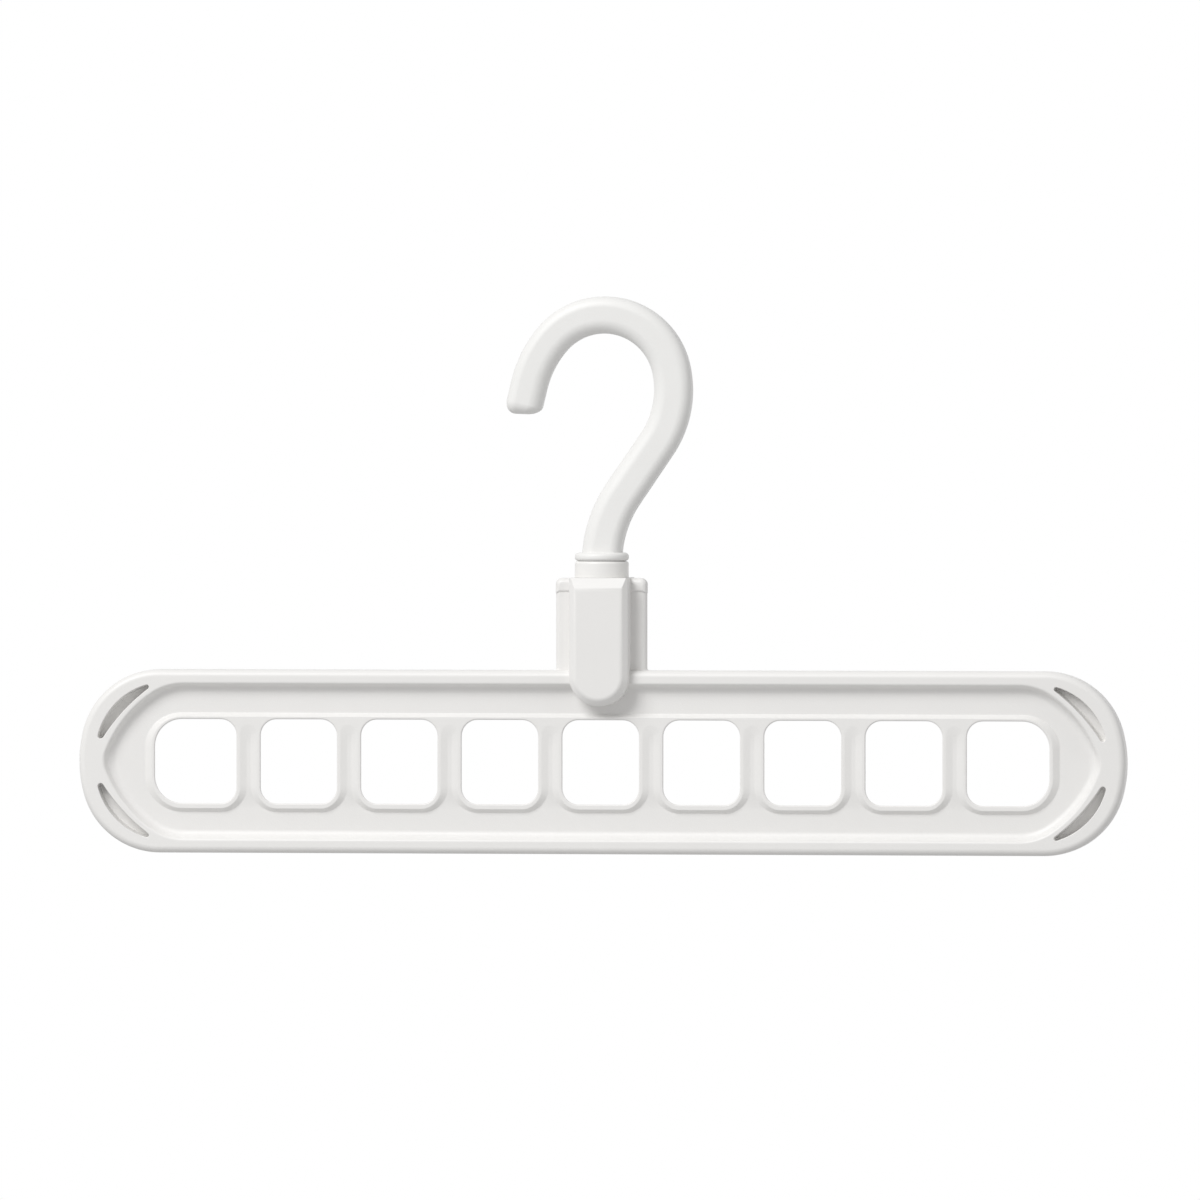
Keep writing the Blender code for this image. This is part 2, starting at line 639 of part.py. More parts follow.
def walk_straight(way, distance):
    """Lengthen the hook's centre line by a straight stretch."""
    x, z, heading, length = way[-1]
    x += distance * math.sin(heading)
    z += distance * math.cos(heading)
    way.append((x, z, heading, length + distance))


def hook_line():
    """Centre line of the gooseneck as places, headings and lengths, and the centre of its crown."""
    way = [(HOOK_SET, COLLAR_TOP, HOOK_LEAN, 0)]
    walk_arc(way, STEM_RADIUS, STEM_TURN, 4)
    walk_straight(way, STEM_STRAIGHT)
    walk_arc(way, SHOULDER_RADIUS, -SHOULDER_TURN, 5)
    crown = walk_arc(way, CROWN_RADIUS, -CROWN_TURN, CROWN_STEPS)
    walk_arc(way, BEAK_RADIUS, -BEAK_TURN, 3)
    walk_straight(way, BEAK_STRAIGHT - HOOK_TIP_ROUND)
    return way, crown


def hook_section(share, inset):
    """Cross-section of the gooseneck at a share of its length: a rectangle with round corners."""
    corner_radius = HOOK_CORNER_RADIUS - inset
    x = (HOOK_WIDTH - HOOK_TAPER * share) / 2 - HOOK_CORNER_RADIUS
    y = (HOOK_DEPTH - HOOK_TAPER * share) / 2 - HOOK_CORNER_RADIUS
    loop = []
    for quarter, centre in enumerate(((x, y), (-x, y), (-x, -y), (x, -y))):
        start = quarter * math.pi / 2
        loop += arc(centre, corner_radius, start, start + math.pi / 2)
    return loop


def hook_ring(mesh, station, section):
    """One cross-section set square to the centre line."""
    x, z, heading = station[:3]
    across = Vector((math.cos(heading), 0, -math.sin(heading)))
    return [mesh.verts.new(Vector((x, 0, z)) + across * u + Vector((0, v, 0))) for u, v in section]


def gooseneck():
    """The bent arm of the hook, from inside its collar to its rounded tip."""
    way = hook_line()[0]
    length = way[-1][3]
    x, z, heading = way[0][:3]
    root = (x - HOOK_ROOT * math.sin(heading), z - HOOK_ROOT * math.cos(heading), heading, 0)
    mesh = bmesh.new()
    rings = [hook_ring(mesh, station, hook_section(station[3] / length, 0)) for station in [root] + way]
    x, z, heading = way[-1][:3]
    for angle in (math.radians(30), math.radians(60), math.radians(90)):
        ahead = HOOK_TIP_ROUND * math.sin(angle)
        inset = HOOK_TIP_ROUND * (1 - math.cos(angle))
        place = (x + ahead * math.sin(heading), z + ahead * math.cos(heading), heading)
        rings.append(hook_ring(mesh, place, hook_section(1, inset)))
    for first, second in zip(rings, rings[1:]):
        bridge(mesh, first, second)
    mesh.faces.new(rings[0])
    mesh.faces.new(rings[-1])
    return finish_mesh(mesh, "gooseneck")


def hook():
    """The hook moulding: collar, step and grooved shank turned about the axis, and the gooseneck."""
    top_edge, low_edge = (COLLAR_RADIUS, COLLAR_TOP), (COLLAR_RADIUS, COLLAR_BASE)
    rim = corner_round((0, COLLAR_TOP), top_edge, low_edge, COLLAR_EDGE_RADIUS)
    groove_top = RING_TOP + CLEARANCE
    groove_foot = RING_FOOT - CLEARANCE
    profile = rim + [
        low_edge,
        (STEP_RADIUS, COLLAR_BASE),
        (STEP_RADIUS, STEP_BASE),
        (SHANK_RADIUS, STEP_BASE),
        (SHANK_RADIUS, groove_top),
        (GROOVE_RADIUS, groove_top),
        (GROOVE_RADIUS, groove_foot),
        (SHANK_RADIUS, groove_foot),
        (SHANK_RADIUS, SHANK_FOOT + SHANK_CHAMFER),
        (SHANK_RADIUS - SHANK_CHAMFER, SHANK_FOOT),
    ]
    made = turned("hook", profile, False)
    combine(made, gooseneck(), "UNION")
    made.data.materials.append(plastic("hook_plastic", (0.84, 0.84, 0.84), 0.33))
    return made


def rod_seat():
    """The point on the swivel axis, under the crown of the hook, that rests on a rod."""
    way, crown = hook_line()
    crown_share = (STEM_RADIUS * STEM_TURN + STEM_STRAIGHT + SHOULDER_RADIUS * SHOULDER_TURN) / way[-1][3]
    inner_radius = CROWN_RADIUS - (HOOK_WIDTH - HOOK_TAPER * crown_share) / 2
    return Vector((0, 0, crown[1] + math.sqrt(inner_radius ** 2 - crown[0] ** 2)))


def build():
    """Make every piece and set the hanger down from its rod seat."""
    clear_scene()
    pieces = [hanger_body(), swivel_sleeve(), retaining_ring(), hook()]
    seat = rod_seat()
    for piece in pieces:
        piece.location = -seat


build()
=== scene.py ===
import math

import bmesh
import bpy
from mathutils import Matrix, Vector
from mathutils.geometry import delaunay_2d_cdt


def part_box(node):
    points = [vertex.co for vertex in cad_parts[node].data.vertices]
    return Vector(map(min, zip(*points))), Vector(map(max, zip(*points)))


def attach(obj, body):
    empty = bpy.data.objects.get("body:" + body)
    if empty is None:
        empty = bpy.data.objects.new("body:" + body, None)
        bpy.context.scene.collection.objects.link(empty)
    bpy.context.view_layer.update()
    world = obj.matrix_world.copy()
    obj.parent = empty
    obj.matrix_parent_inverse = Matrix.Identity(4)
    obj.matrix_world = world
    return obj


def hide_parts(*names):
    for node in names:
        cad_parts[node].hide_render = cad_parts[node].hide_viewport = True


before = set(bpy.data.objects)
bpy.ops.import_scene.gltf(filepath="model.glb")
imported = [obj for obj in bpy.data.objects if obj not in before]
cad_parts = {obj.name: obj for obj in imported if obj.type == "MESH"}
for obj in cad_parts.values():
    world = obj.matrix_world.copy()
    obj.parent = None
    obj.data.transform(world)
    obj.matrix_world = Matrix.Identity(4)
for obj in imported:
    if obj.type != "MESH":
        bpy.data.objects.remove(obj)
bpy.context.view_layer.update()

# The frame: one long injection moulding of white polypropylene with nine lipped holes for the hooks of
# other hangers. Its two mould halves part on the middle plane, so every wall leans towards it a little
# and every edge is softly rounded. Sizes are metres, and shares are of half the frame's height.
BODY_LENGTH = 0.350
BODY_HEIGHT = 0.061
BODY_DEPTH = 0.011
CORNER_CENTRE_SHARE = 0.128           # a corner's centre, above the middle line
END_SPAN_SHARE = 0.492                # from the end arc's centre to a corner's
OUTER_EDGE_RADIUS = 0.0023
RAIL_WIDTH = 0.0060                   # from the outer edge to the foot of the recess wall
END_RIM_WIDTH = 0.0102                # the same at the two points of the recess
FRONT_RECESS_DEPTH = 0.0034
BACK_RECESS_DEPTH = 0.0046
RECESS_CORNER_SHARE = 0.59            # radius of the recess's corners
RECESS_SETBACK_SHARE = 0.269          # their centres, in from the frame's corner centres
RECESS_SIDE_SHARE = 1.312             # radius of the flanks from corner to point
RECESS_POINT_SHARE = 0.374            # radius of the points
RECESS_WALL_RUN = 0.0014              # how far the wall leans outwards as it rises
POINT_PINCH = 2                       # how fast the points sharpen as it leans out
RECESS_TOP_RADIUS = 0.0010
RECESS_FOOT_RADIUS = 0.0026

TRIANGLES_INSIDE = 1
CUT_TOLERANCE = 1e-7

HALF_DEPTH = BODY_DEPTH / 2
HALF_HEIGHT = BODY_HEIGHT / 2
FRONT_FLOOR = HALF_DEPTH - FRONT_RECESS_DEPTH
BACK_FLOOR = HALF_DEPTH - BACK_RECESS_DEPTH
CORNER_CENTRE_RISE = CORNER_CENTRE_SHARE * HALF_HEIGHT
END_CENTRE_SPAN = END_SPAN_SHARE * HALF_HEIGHT
RECESS_CORNER_RADIUS = RECESS_CORNER_SHARE * HALF_HEIGHT
RECESS_SIDE_RADIUS = RECESS_SIDE_SHARE * HALF_HEIGHT
RECESS_POINT_RADIUS = RECESS_POINT_SHARE * HALF_HEIGHT

frame_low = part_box("hanger_body")[0]
MIDDLE = Vector((0, 0, frame_low.z + HALF_HEIGHT))


def on_circle(centre, radius, angle):
    """The point of a circle at an angle."""
    return (centre[0] + radius * math.cos(angle), centre[1] + radius * math.sin(angle))


def arc(centre, radius, start, end, steps=12):
    """Points along a circle from one angle to another, both ends included."""
    return [on_circle(centre, radius, start + (end - start) * i / steps) for i in range(steps + 1)]


def meeting_point(first, first_radius, second, second_radius):
    """The point at given distances from two others, on the right of the way from the first to the second."""
    first, second = Vector(first), Vector(second)
    span = (second - first).length
    along = (first_radius ** 2 - second_radius ** 2 + span ** 2) / (2 * span)
    across = math.sqrt(first_radius ** 2 - along ** 2)
    unit = (second - first) / span
    return first + unit * along + Vector((unit.y, -unit.x)) * across


def bearing(start, end):
    """Angle of the way from one point to another."""
    return math.atan2(end[1] - start[1], end[0] - start[0])


def four_fold(quarter):
    """A closed outline from its upper right quarter, which starts on the middle line."""
    upper = quarter + [(-x, z) for x, z in reversed(quarter)]
    return upper + [(x, -z) for x, z in reversed(upper[1:-1])]


def rounded(before, corner, after, radius, steps=6):
    """Points of a fillet at one corner of a section line."""
    corner = Vector(corner)
    to_before = (Vector(before) - corner).normalized()
    to_after = (Vector(after) - corner).normalized()
    half_angle = to_before.angle(to_after) / 2
    centre = corner + (to_before + to_after).normalized() * radius / math.sin(half_angle)
    reach = radius / math.tan(half_angle)
    first = corner + to_before * reach - centre
    last = corner + to_after * reach - centre
    full = first.angle_signed(last)
    turns = [Matrix.Rotation(-full * i / steps, 2) for i in range(steps + 1)]
    return [tuple(centre + turn @ first) for turn in turns]


def end_centres():
    """Centres of the end arc and the corner arc of the right end, and the angle where they meet."""
    corner_radius = HALF_HEIGHT - CORNER_CENTRE_RISE
    end_radius = corner_radius + END_CENTRE_SPAN
    end_centre = (BODY_LENGTH / 2 - end_radius, 0)
    meet = math.asin(CORNER_CENTRE_RISE / END_CENTRE_SPAN)
    corner_centre = on_circle(end_centre, END_CENTRE_SPAN, meet)
    return end_centre, end_radius, corner_centre, corner_radius, meet


def silhouette(grow):
    """Outer edge of the frame, moved outwards."""
    end_centre, end_radius, corner_centre, corner_radius, meet = end_centres()
    end = arc(end_centre, end_radius + grow, 0, meet, steps=6)
    corner = arc(corner_centre, corner_radius + grow, meet, math.pi / 2, steps=28)
    return four_fold(end + corner[1:])


def recess_centres():
    """Centres of the corner, side and point arcs of the recess: the side arc touches the others."""
    corner_x = end_centres()[2][0] - RECESS_SETBACK_SHARE * HALF_HEIGHT
    corner = (corner_x, HALF_HEIGHT - RAIL_WIDTH - RECESS_CORNER_RADIUS)
    point = (BODY_LENGTH / 2 - END_RIM_WIDTH - RECESS_POINT_RADIUS, 0)
    from_corner = RECESS_SIDE_RADIUS - RECESS_CORNER_RADIUS
    from_point = RECESS_SIDE_RADIUS - RECESS_POINT_RADIUS
    return corner, meeting_point(corner, from_corner, point, from_point), point


def recess_edge(grow):
    """Foot of the recess wall, moved outwards. Its two points sharpen as it grows."""
    corner, side = recess_centres()[:2]
    point_radius = RECESS_POINT_RADIUS - POINT_PINCH * grow
    reach = RECESS_SIDE_RADIUS + grow - point_radius
    point = (side.x + math.sqrt(reach ** 2 - side.y ** 2), 0)
    point_angle = bearing(side, point)
    corner_angle = bearing(side, corner)
    tip = arc(point, point_radius, 0, point_angle)
    flank = arc(side, RECESS_SIDE_RADIUS + grow, point_angle, corner_angle)
    head = arc(corner, RECESS_CORNER_RADIUS + grow, corner_angle, math.pi / 2)
    return four_fold(tip + flank[1:] + head[1:])


def as_drawn(x, z, depth):
    """The depth of a section line as it stands."""
    return depth


def wall(mesh, outline, section, depth_at=as_drawn):
    """A wall that follows an outline through a section of offsets and depths; gives its end loops."""
    loops = []
    for grow, depth in section:
        loops.append([mesh.verts.new((x, -depth_at(x, z, depth), z)) for x, z in outline(grow)])
    for first, second in zip(loops, loops[1:]):
        bridge(mesh, first, second)
    return loops[0], loops[-1]


def bridge(mesh, first, second):
    """Faces between two loops with as many points."""
    count = len(first)
    for i in range(count):
        j = (i + 1) % count
        mesh.faces.new((first[i], first[j], second[j], second[i]))


def crossings(x, z, edges):
    """How many edges a ray to the right of a point meets: an odd number means that it lies inside."""
    count = 0
    for first, second in edges:
        if (first.y > z) != (second.y > z):
            share = (z - first.y) / (second.y - first.y)
            count += first.x + (second.x - first.x) * share > x
    return count


def flat_face(mesh, loops):
    """Flat faces inside an outline and outside its holes."""
    verts = [vert for loop in loops for vert in loop]
    flat = [Vector((vert.co.x, vert.co.z)) for vert in verts]
    edges = []
    for loop in loops:
        first = len(edges)
        edges += [(first + i, first + (i + 1) % len(loop)) for i in range(len(loop))]
    walls = [(flat[first], flat[second]) for first, second in edges]
    cells, sources = delaunay_2d_cdt(flat, edges, [], TRIANGLES_INSIDE, CUT_TOLERANCE)[2:4]
    for cell in cells:
        corners = [sources[index][0] for index in cell]
        middle = sum((flat[index] for index in corners), Vector((0, 0))) / len(corners)
        if crossings(middle.x, middle.y, walls) % 2:
            mesh.faces.new([verts[index] for index in corners])


def moulding(mesh, name):
    """An object from a closed mesh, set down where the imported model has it."""
    bmesh.ops.recalc_face_normals(mesh, faces=mesh.faces[:])
    data = bpy.data.meshes.new(name)
    mesh.to_mesh(data)
    mesh.free()
    made = bpy.data.objects.new(name, data)
    made.location = MIDDLE
    bpy.context.collection.objects.link(made)
    return made


# The holes and the raised lip round them: each hole widens a little towards the back, and a rounded
# lip stands up round it at the front. Between the holes the lip opens into a valley from below.
HOLE_COUNT = 9
HOLE_ROW_SETBACK = 0.0255             # from the frame's end to the first hole
HOLE_RAIL_GAP = 0.0166                # from the frame's edge to the holes
HOLE_GAP = 0.00834                    # between neighbouring holes
HOLE_CORNER_SHARE = 0.19
END_HOLE_EXTRA = 0.00185              # how much further out the two end holes reach
END_HOLE_CORNER_SHARE = 0.324
HOLE_EDGE_RADIUS = 0.0005
HOLE_BACK_RADIUS = 0.0004
HOLE_FLARE = 0.0008                   # how much each edge of a hole opens towards the back
LIP_WIDTH = 0.0013                    # flat top of the lip at a hole's sides
LIP_UPPER_WIDTH = 0.0010              # above the hole
LIP_LOWER_WIDTH = 0.0018              # and below it
LIP_STAND = 0.0013                    # height over the web
LIP_WALL_RUN = 0.0022                 # how far its outer side slopes out at a hole's sides
LIP_STEEP_SHARE = 0.55                # of that above and below the hole
LIP_TOP_RADIUS = 0.0008
LIP_FOOT_RADIUS = 0.0010
VALLEY_HEAD_DROP = 0.0042             # centre of a valley's round head, below the holes' top edge
VALLEY_RAMP = 0.0012                  # how far the head slopes down
VALLEY_LIFT_SHARE = 0.55              # how much shallower a valley is than the lip is high
VALLEY_FALL = 0.0080                  # height over which it runs out into the web below
VALLEY_FADE = 0.0090                  # height over which it sinks in below the head
CLIMB_STEPS = 12

LIP_LEVEL = FRONT_FLOOR + LIP_STAND
HOLE_HEIGHT = BODY_HEIGHT - 2 * HOLE_RAIL_GAP
HOLE_ROW = BODY_LENGTH - 2 * HOLE_ROW_SETBACK - 2 * END_HOLE_EXTRA
HOLE_WIDTH = (HOLE_ROW - (HOLE_COUNT - 1) * HOLE_GAP) / HOLE_COUNT
HOLE_PITCH = HOLE_WIDTH + HOLE_GAP


def hole_sides(index):
    """Left and right edge of a hole, and the corner radius at each; the end holes reach further out."""
    middle = (index - (HOLE_COUNT - 1) / 2) * HOLE_PITCH
    left, right = middle - HOLE_WIDTH / 2, middle + HOLE_WIDTH / 2
    left_radius = right_radius = HOLE_CORNER_SHARE * HOLE_HEIGHT
    if index == 0:
        left, left_radius = left - END_HOLE_EXTRA, END_HOLE_CORNER_SHARE * HOLE_HEIGHT
    if index == HOLE_COUNT - 1:
        right, right_radius = right + END_HOLE_EXTRA, END_HOLE_CORNER_SHARE * HOLE_HEIGHT
    return left, right, left_radius, right_radius


def hole_edge(index, grow):
    """Edge of one hole, moved outwards."""
    left, right, left_radius, right_radius = hole_sides(index)
    rise = HOLE_HEIGHT / 2
    upper = arc((right - right_radius, rise - right_radius), right_radius + grow, 0, math.pi / 2)
    upper += arc((left + left_radius, rise - left_radius), left_radius + grow, math.pi / 2, math.pi)
    return upper + [(x, -z) for x, z in reversed(upper)]


def oval_arc(centre, wide, high, start, end):
    """Points along a quarter of an oval."""
    quarter = arc((0, 0), 1, start, end)
    return [(centre[0] + wide * x, centre[1] + high * z) for x, z in quarter]


def lip_edge(grow):
    """Top edge of the lip round all the holes, moved outwards; its upper side runs straight through."""
    margin = LIP_WIDTH + grow
    above = LIP_UPPER_WIDTH + grow * LIP_STEEP_SHARE
    below = LIP_LOWER_WIDTH + grow * LIP_STEEP_SHARE
    rise = HOLE_HEIGHT / 2
    head_z = rise - VALLEY_HEAD_DROP - VALLEY_RAMP * max(grow, 0) / LIP_WALL_RUN
    loop = []
    for index in range(HOLE_COUNT):
        left, right, left_radius, right_radius = hole_sides(index)
        low_left = (left + left_radius, left_radius - rise)
        low_right = (right - right_radius, right_radius - rise)
        loop += oval_arc(low_left, left_radius + margin, left_radius + below, math.pi, 1.5 * math.pi)
        loop += oval_arc(low_right, right_radius + margin, right_radius + below, -math.pi / 2, 0)
        if index < HOLE_COUNT - 1:
            rise_z = head_z - low_right[1]
            climb = [low_right[1] + rise_z * i / CLIMB_STEPS for i in range(1, CLIMB_STEPS)]
            loop += [(right + margin, z) for z in climb]
            loop += arc((right + HOLE_GAP / 2, head_z), HOLE_GAP / 2 - margin, math.pi, 0)
            loop += [(right + HOLE_GAP - margin, z) for z in reversed(climb)]
    left, right, left_radius, right_radius = hole_sides(HOLE_COUNT - 1)
    high_right = (right - right_radius, rise - right_radius)
    loop += oval_arc(high_right, right_radius + margin, right_radius + above, 0, math.pi / 2)
    left, right, left_radius, right_radius = hole_sides(0)
    high_left = (left + left_radius, rise - left_radius)
    loop += oval_arc(high_left, left_radius + margin, left_radius + above, math.pi / 2, math.pi)
    return loop


def eased(height, run):
    """A smooth rise from nought to one over a run."""
    share = min(max(height / run, 0), 1)
    return share * share * (3 - 2 * share)


def lip_depth(x, z, depth):
    """Depth of the lip's outer side: a valley fades in below its head and runs out into the web below."""
    off_middle = min(abs(x - hole_sides(index)[1] - HOLE_GAP / 2) for index in range(HOLE_COUNT - 1))
    if off_middle > HOLE_GAP / 2 or z > HOLE_HEIGHT / 2:
        return depth
    fall = 1 - VALLEY_LIFT_SHARE * eased(z + HOLE_HEIGHT / 2 + LIP_LOWER_WIDTH, VALLEY_FALL)
    fade = eased(HOLE_HEIGHT / 2 - z, VALLEY_FADE)
    return LIP_LEVEL - (LIP_LEVEL - depth) * fall * fade


# The crescent pockets: a blind pocket in each corner of both faces, which keeps the broad end rims from
# sinking as the plastic cools. Each lies between the corner of the frame and the wall of the recess.
CRESCENT_LAND = 0.00273               # how much smaller the outer arc is than the frame's corner
CRESCENT_IN_SHARE = 0.0796            # that arc's centre, in from the corner's centre
CRESCENT_DOWN_SHARE = 0.0453          # and down from it
CRESCENT_RIDGE = 0.00167              # between the pocket and the recess wall
CRESCENT_INNER_SHARE = 2.133          # radius of the inner arc
CRESCENT_LEAN = math.radians(46.9)    # direction that the ridge is measured in
CRESCENT_LOW_CAP_SHARE = 0.023        # radius of the lower end
CRESCENT_HIGH_CAP_SHARE = 0.0148      # radius of the upper end
CRESCENT_DRAFT = 0.0003               # how far the walls lean
CRESCENT_SINK = 0.0010                # how much deeper than the web it goes
CRESCENT_FOOT_RADIUS = 0.0004
CRESCENT_MOUTH_RADIUS = 0.00025


def crescent_edge(grow):
    """Upper right crescent pocket at its floor, moved outwards: two arcs joined by small round caps."""
    corner_centre, corner_radius = end_centres()[2:4]
    side = recess_centres()[1]
    in_shift, down_shift = CRESCENT_IN_SHARE * HALF_HEIGHT, CRESCENT_DOWN_SHARE * HALF_HEIGHT
    outer_centre = (corner_centre[0] - in_shift, corner_centre[1] - down_shift)
    outer_radius = corner_radius - CRESCENT_LAND - CRESCENT_DRAFT
    ridge = RECESS_SIDE_RADIUS + RECESS_WALL_RUN + CRESCENT_RIDGE + CRESCENT_DRAFT
    inner_radius = CRESCENT_INNER_SHARE * HALF_HEIGHT
    inner_centre = on_circle(side, ridge - inner_radius, CRESCENT_LEAN)
    low_cap = CRESCENT_LOW_CAP_SHARE * HALF_HEIGHT
    high_cap = CRESCENT_HIGH_CAP_SHARE * HALF_HEIGHT
    low = meeting_point(inner_centre, inner_radius + low_cap, outer_centre, outer_radius - low_cap)
    high = meeting_point(outer_centre, outer_radius - high_cap, inner_centre, inner_radius + high_cap)
    outer_low, outer_high = bearing(outer_centre, low), bearing(outer_centre, high)
    inner_low, inner_high = bearing(inner_centre, low), bearing(inner_centre, high)
    loop = arc(outer_centre, outer_radius + grow, outer_low, outer_high, steps=20)
    loop += arc(high, high_cap + grow, outer_high, inner_high + math.pi, steps=8)[1:-1]
    loop += arc(inner_centre, inner_radius - grow, inner_high, inner_low, steps=16)
    loop += arc(low, low_cap + grow, inner_low - math.pi, outer_low, steps=8)[1:-1]
    return loop


def mirrored(outline, flip_x, flip_z):
    """An outline mirrored left to right or top to bottom."""
    x_sign = -1 if flip_x else 1
    z_sign = -1 if flip_z else 1
    return [(x * x_sign, z * z_sign) for x, z in outline]


def crescent_pockets(mesh, side, floor):
    """The four pockets of one face, with softly broken edges; gives the edges of their mouths."""
    foot, mouth = (0, floor), (CRESCENT_DRAFT, HALF_DEPTH)
    lead = rounded((-RAIL_WIDTH, floor), foot, mouth, CRESCENT_FOOT_RADIUS, steps=4)
    lead += rounded(foot, mouth, (RAIL_WIDTH, HALF_DEPTH), CRESCENT_MOUTH_RADIUS, steps=3)
    mouths = []
    for flip_x in (False, True):
        for flip_z in (False, True):
            section = [(grow, side * depth) for grow, depth in lead]
            base, rim = wall(mesh, lambda grow: mirrored(crescent_edge(grow), flip_x, flip_z), section)
            flat_face(mesh, [base])
            mouths.append(rim)
    return mouths


# The plate is sewn together from those walls: the rounded outer edge, the recess of each face with its
# floor, which is the web, and then the lips and the holes through the web.
plate = bmesh.new()
front_edge = rounded((0, 0), (0, HALF_DEPTH), (-RAIL_WIDTH, HALF_DEPTH), OUTER_EDGE_RADIUS, steps=8)
back_edge = [(grow, -depth) for grow, depth in reversed(front_edge)]
rim_back, rim_front = wall(plate, silhouette, back_edge + front_edge)
webs = []
for rim, floor, side in ((rim_front, FRONT_FLOOR, 1), (rim_back, BACK_FLOOR, -1)):
    top, foot = (RECESS_WALL_RUN, HALF_DEPTH), (0, floor)
    slope = rounded((RAIL_WIDTH, HALF_DEPTH), top, foot, RECESS_TOP_RADIUS)
    slope += rounded(top, foot, (-RAIL_WIDTH, floor), RECESS_FOOT_RADIUS)
    mouth, web = wall(plate, recess_edge, [(grow, side * depth) for grow, depth in slope])
    flat_face(plate, [rim, mouth] + crescent_pockets(plate, side, floor - CRESCENT_SINK))
    webs.append(web)
foot, top = (LIP_WALL_RUN, FRONT_FLOOR), (0, LIP_LEVEL)
lip_side = rounded((RAIL_WIDTH, FRONT_FLOOR), foot, top, LIP_FOOT_RADIUS)
lip_side += rounded(foot, top, (-LIP_WIDTH, LIP_LEVEL), LIP_TOP_RADIUS)
lip_foot, lip_top = wall(plate, lip_edge, lip_side, lip_depth)
front, back = (0, LIP_LEVEL), (HOLE_FLARE, -BACK_FLOOR)
hole_side = rounded((LIP_WIDTH, LIP_LEVEL), front, back, HOLE_EDGE_RADIUS)
hole_side += rounded(front, back, (LIP_WIDTH, -BACK_FLOOR), HOLE_BACK_RADIUS, steps=4)
hole_fronts, hole_backs = [], []
for index in range(HOLE_COUNT):
    near, far = wall(plate, lambda grow: hole_edge(index, grow), hole_side)
    hole_fronts.append(near)
    hole_backs.append(far)
flat_face(plate, [webs[0], lip_foot])
flat_face(plate, [lip_top] + hole_fronts)
flat_face(plate, [webs[1]] + hole_backs)
hanger_frame = moulding(plate, "hanger_frame")

# The tower on the top rail, moulded in one with the frame: a rounded plate that makes a wing on each
# side, thickened to a cap along its top, and between the wings the square barrel, chamfered all round,
# that the swivel turns in.
NECK_RADIUS = 0.00895                 # the sleeve's neck, which the barrel is sized round
TOWER_RISE = 0.0308                   # above the top rail
WING_WIDTH = 0.0054
WING_DEPTH = 0.0040
WING_CORNER_RADIUS = 0.0022
WING_EDGE_RADIUS = 0.0016
WING_INSET = 0.0001                   # keeps the wings' walls off the cap's
WING_TOP_DROP = 0.0001                # keeps the wings' top off the barrel's
CAP_HEIGHT = 0.0050
CAP_DEPTH = 0.0051
CAP_EDGE_RADIUS = 0.0018
CAP_FOOT_RADIUS = 0.0015
CAP_BAR_SPARE = 0.00004               # keeps the bar's walls off the cap's
WING_FOOT_RADIUS = 0.0010
WING_FOOT_SINK = 0.0001               # keeps the fillets off the top of the rail
BARREL_SIDE_LAND = 0.00095            # from the neck to the barrel's side
BARREL_CHAMFER = 0.0021
BARREL_SIDE_RADIUS = 0.0012
BARREL_FACE_RADIUS = 0.0020
BARREL_DROP = 0.0118                  # how far it reaches down over the frame
BARREL_TOP_LEDGE = 0.00045            # from the neck to the bevel
BARREL_BEVEL_RUN = 0.0014             # how far the bevel slopes outwards
BARREL_BEVEL_HEIGHT = 0.0039
BARREL_BEVEL_RADIUS = 0.0055
BEVEL_STEPS = 5
SEWING_GAP = 1e-6

BARREL_HALF_WIDTH = NECK_RADIUS + BARREL_SIDE_LAND
BARREL_HALF_DEPTH = NECK_RADIUS + BARREL_TOP_LEDGE + BARREL_BEVEL_RUN
WING_HALF_SPAN = BARREL_HALF_WIDTH + WING_WIDTH
TOWER_TOP = HALF_HEIGHT + TOWER_RISE
WING_TOP = TOWER_TOP - WING_TOP_DROP


def wing_edge(grow):
    """Outline of both wings in one plate, flared into the top rail with small fillets."""
    root = HALF_HEIGHT - RAIL_WIDTH / 2
    foot_centre = (WING_HALF_SPAN + WING_FOOT_RADIUS, HALF_HEIGHT + WING_FOOT_RADIUS - WING_FOOT_SINK)
    top_centre = (WING_HALF_SPAN - WING_CORNER_RADIUS, WING_TOP - WING_CORNER_RADIUS)
    foot = arc(foot_centre, WING_FOOT_RADIUS - grow, 1.5 * math.pi, math.pi)
    top = arc(top_centre, WING_CORNER_RADIUS + grow, 0, math.pi / 2)
    right = [(foot_centre[0], root)] + foot + top
    return right + [(-x, z) for x, z in reversed(right)]


def barrel_edge(grow):
    """Front view of the barrel: straight sides, a flat top and a half-round lower end."""
    reach = BARREL_HALF_WIDTH + grow
    centre = (0, HALF_HEIGHT - BARREL_DROP + BARREL_HALF_WIDTH)
    return arc(centre, reach, math.pi, 2 * math.pi, steps=40) + [(reach, TOWER_TOP), (-reach, TOWER_TOP)]


def mirror_back(mesh):
    """Complete a front half, open on the middle plane, with its mirror image."""
    everything = mesh.verts[:] + mesh.edges[:] + mesh.faces[:]
    bmesh.ops.mirror(mesh, geom=everything, matrix=Matrix.Identity(4), merge_dist=SEWING_GAP, axis="Y")


def wing_plate(name, depth, edge_radius, inset):
    """Both wings as one plate with rounded edges; an inset keeps its walls off those of another plate."""
    mesh = bmesh.new()
    face = (0, depth / 2)
    rounding = rounded((0, 0), face, (-WING_WIDTH, depth / 2), edge_radius, steps=8)
    section = [(grow - inset, off_plane) for grow, off_plane in [(0, 0)] + rounding]
    flat_face(mesh, [wall(mesh, wing_edge, section)[1]])
    mirror_back(mesh)
    return moulding(mesh, name)


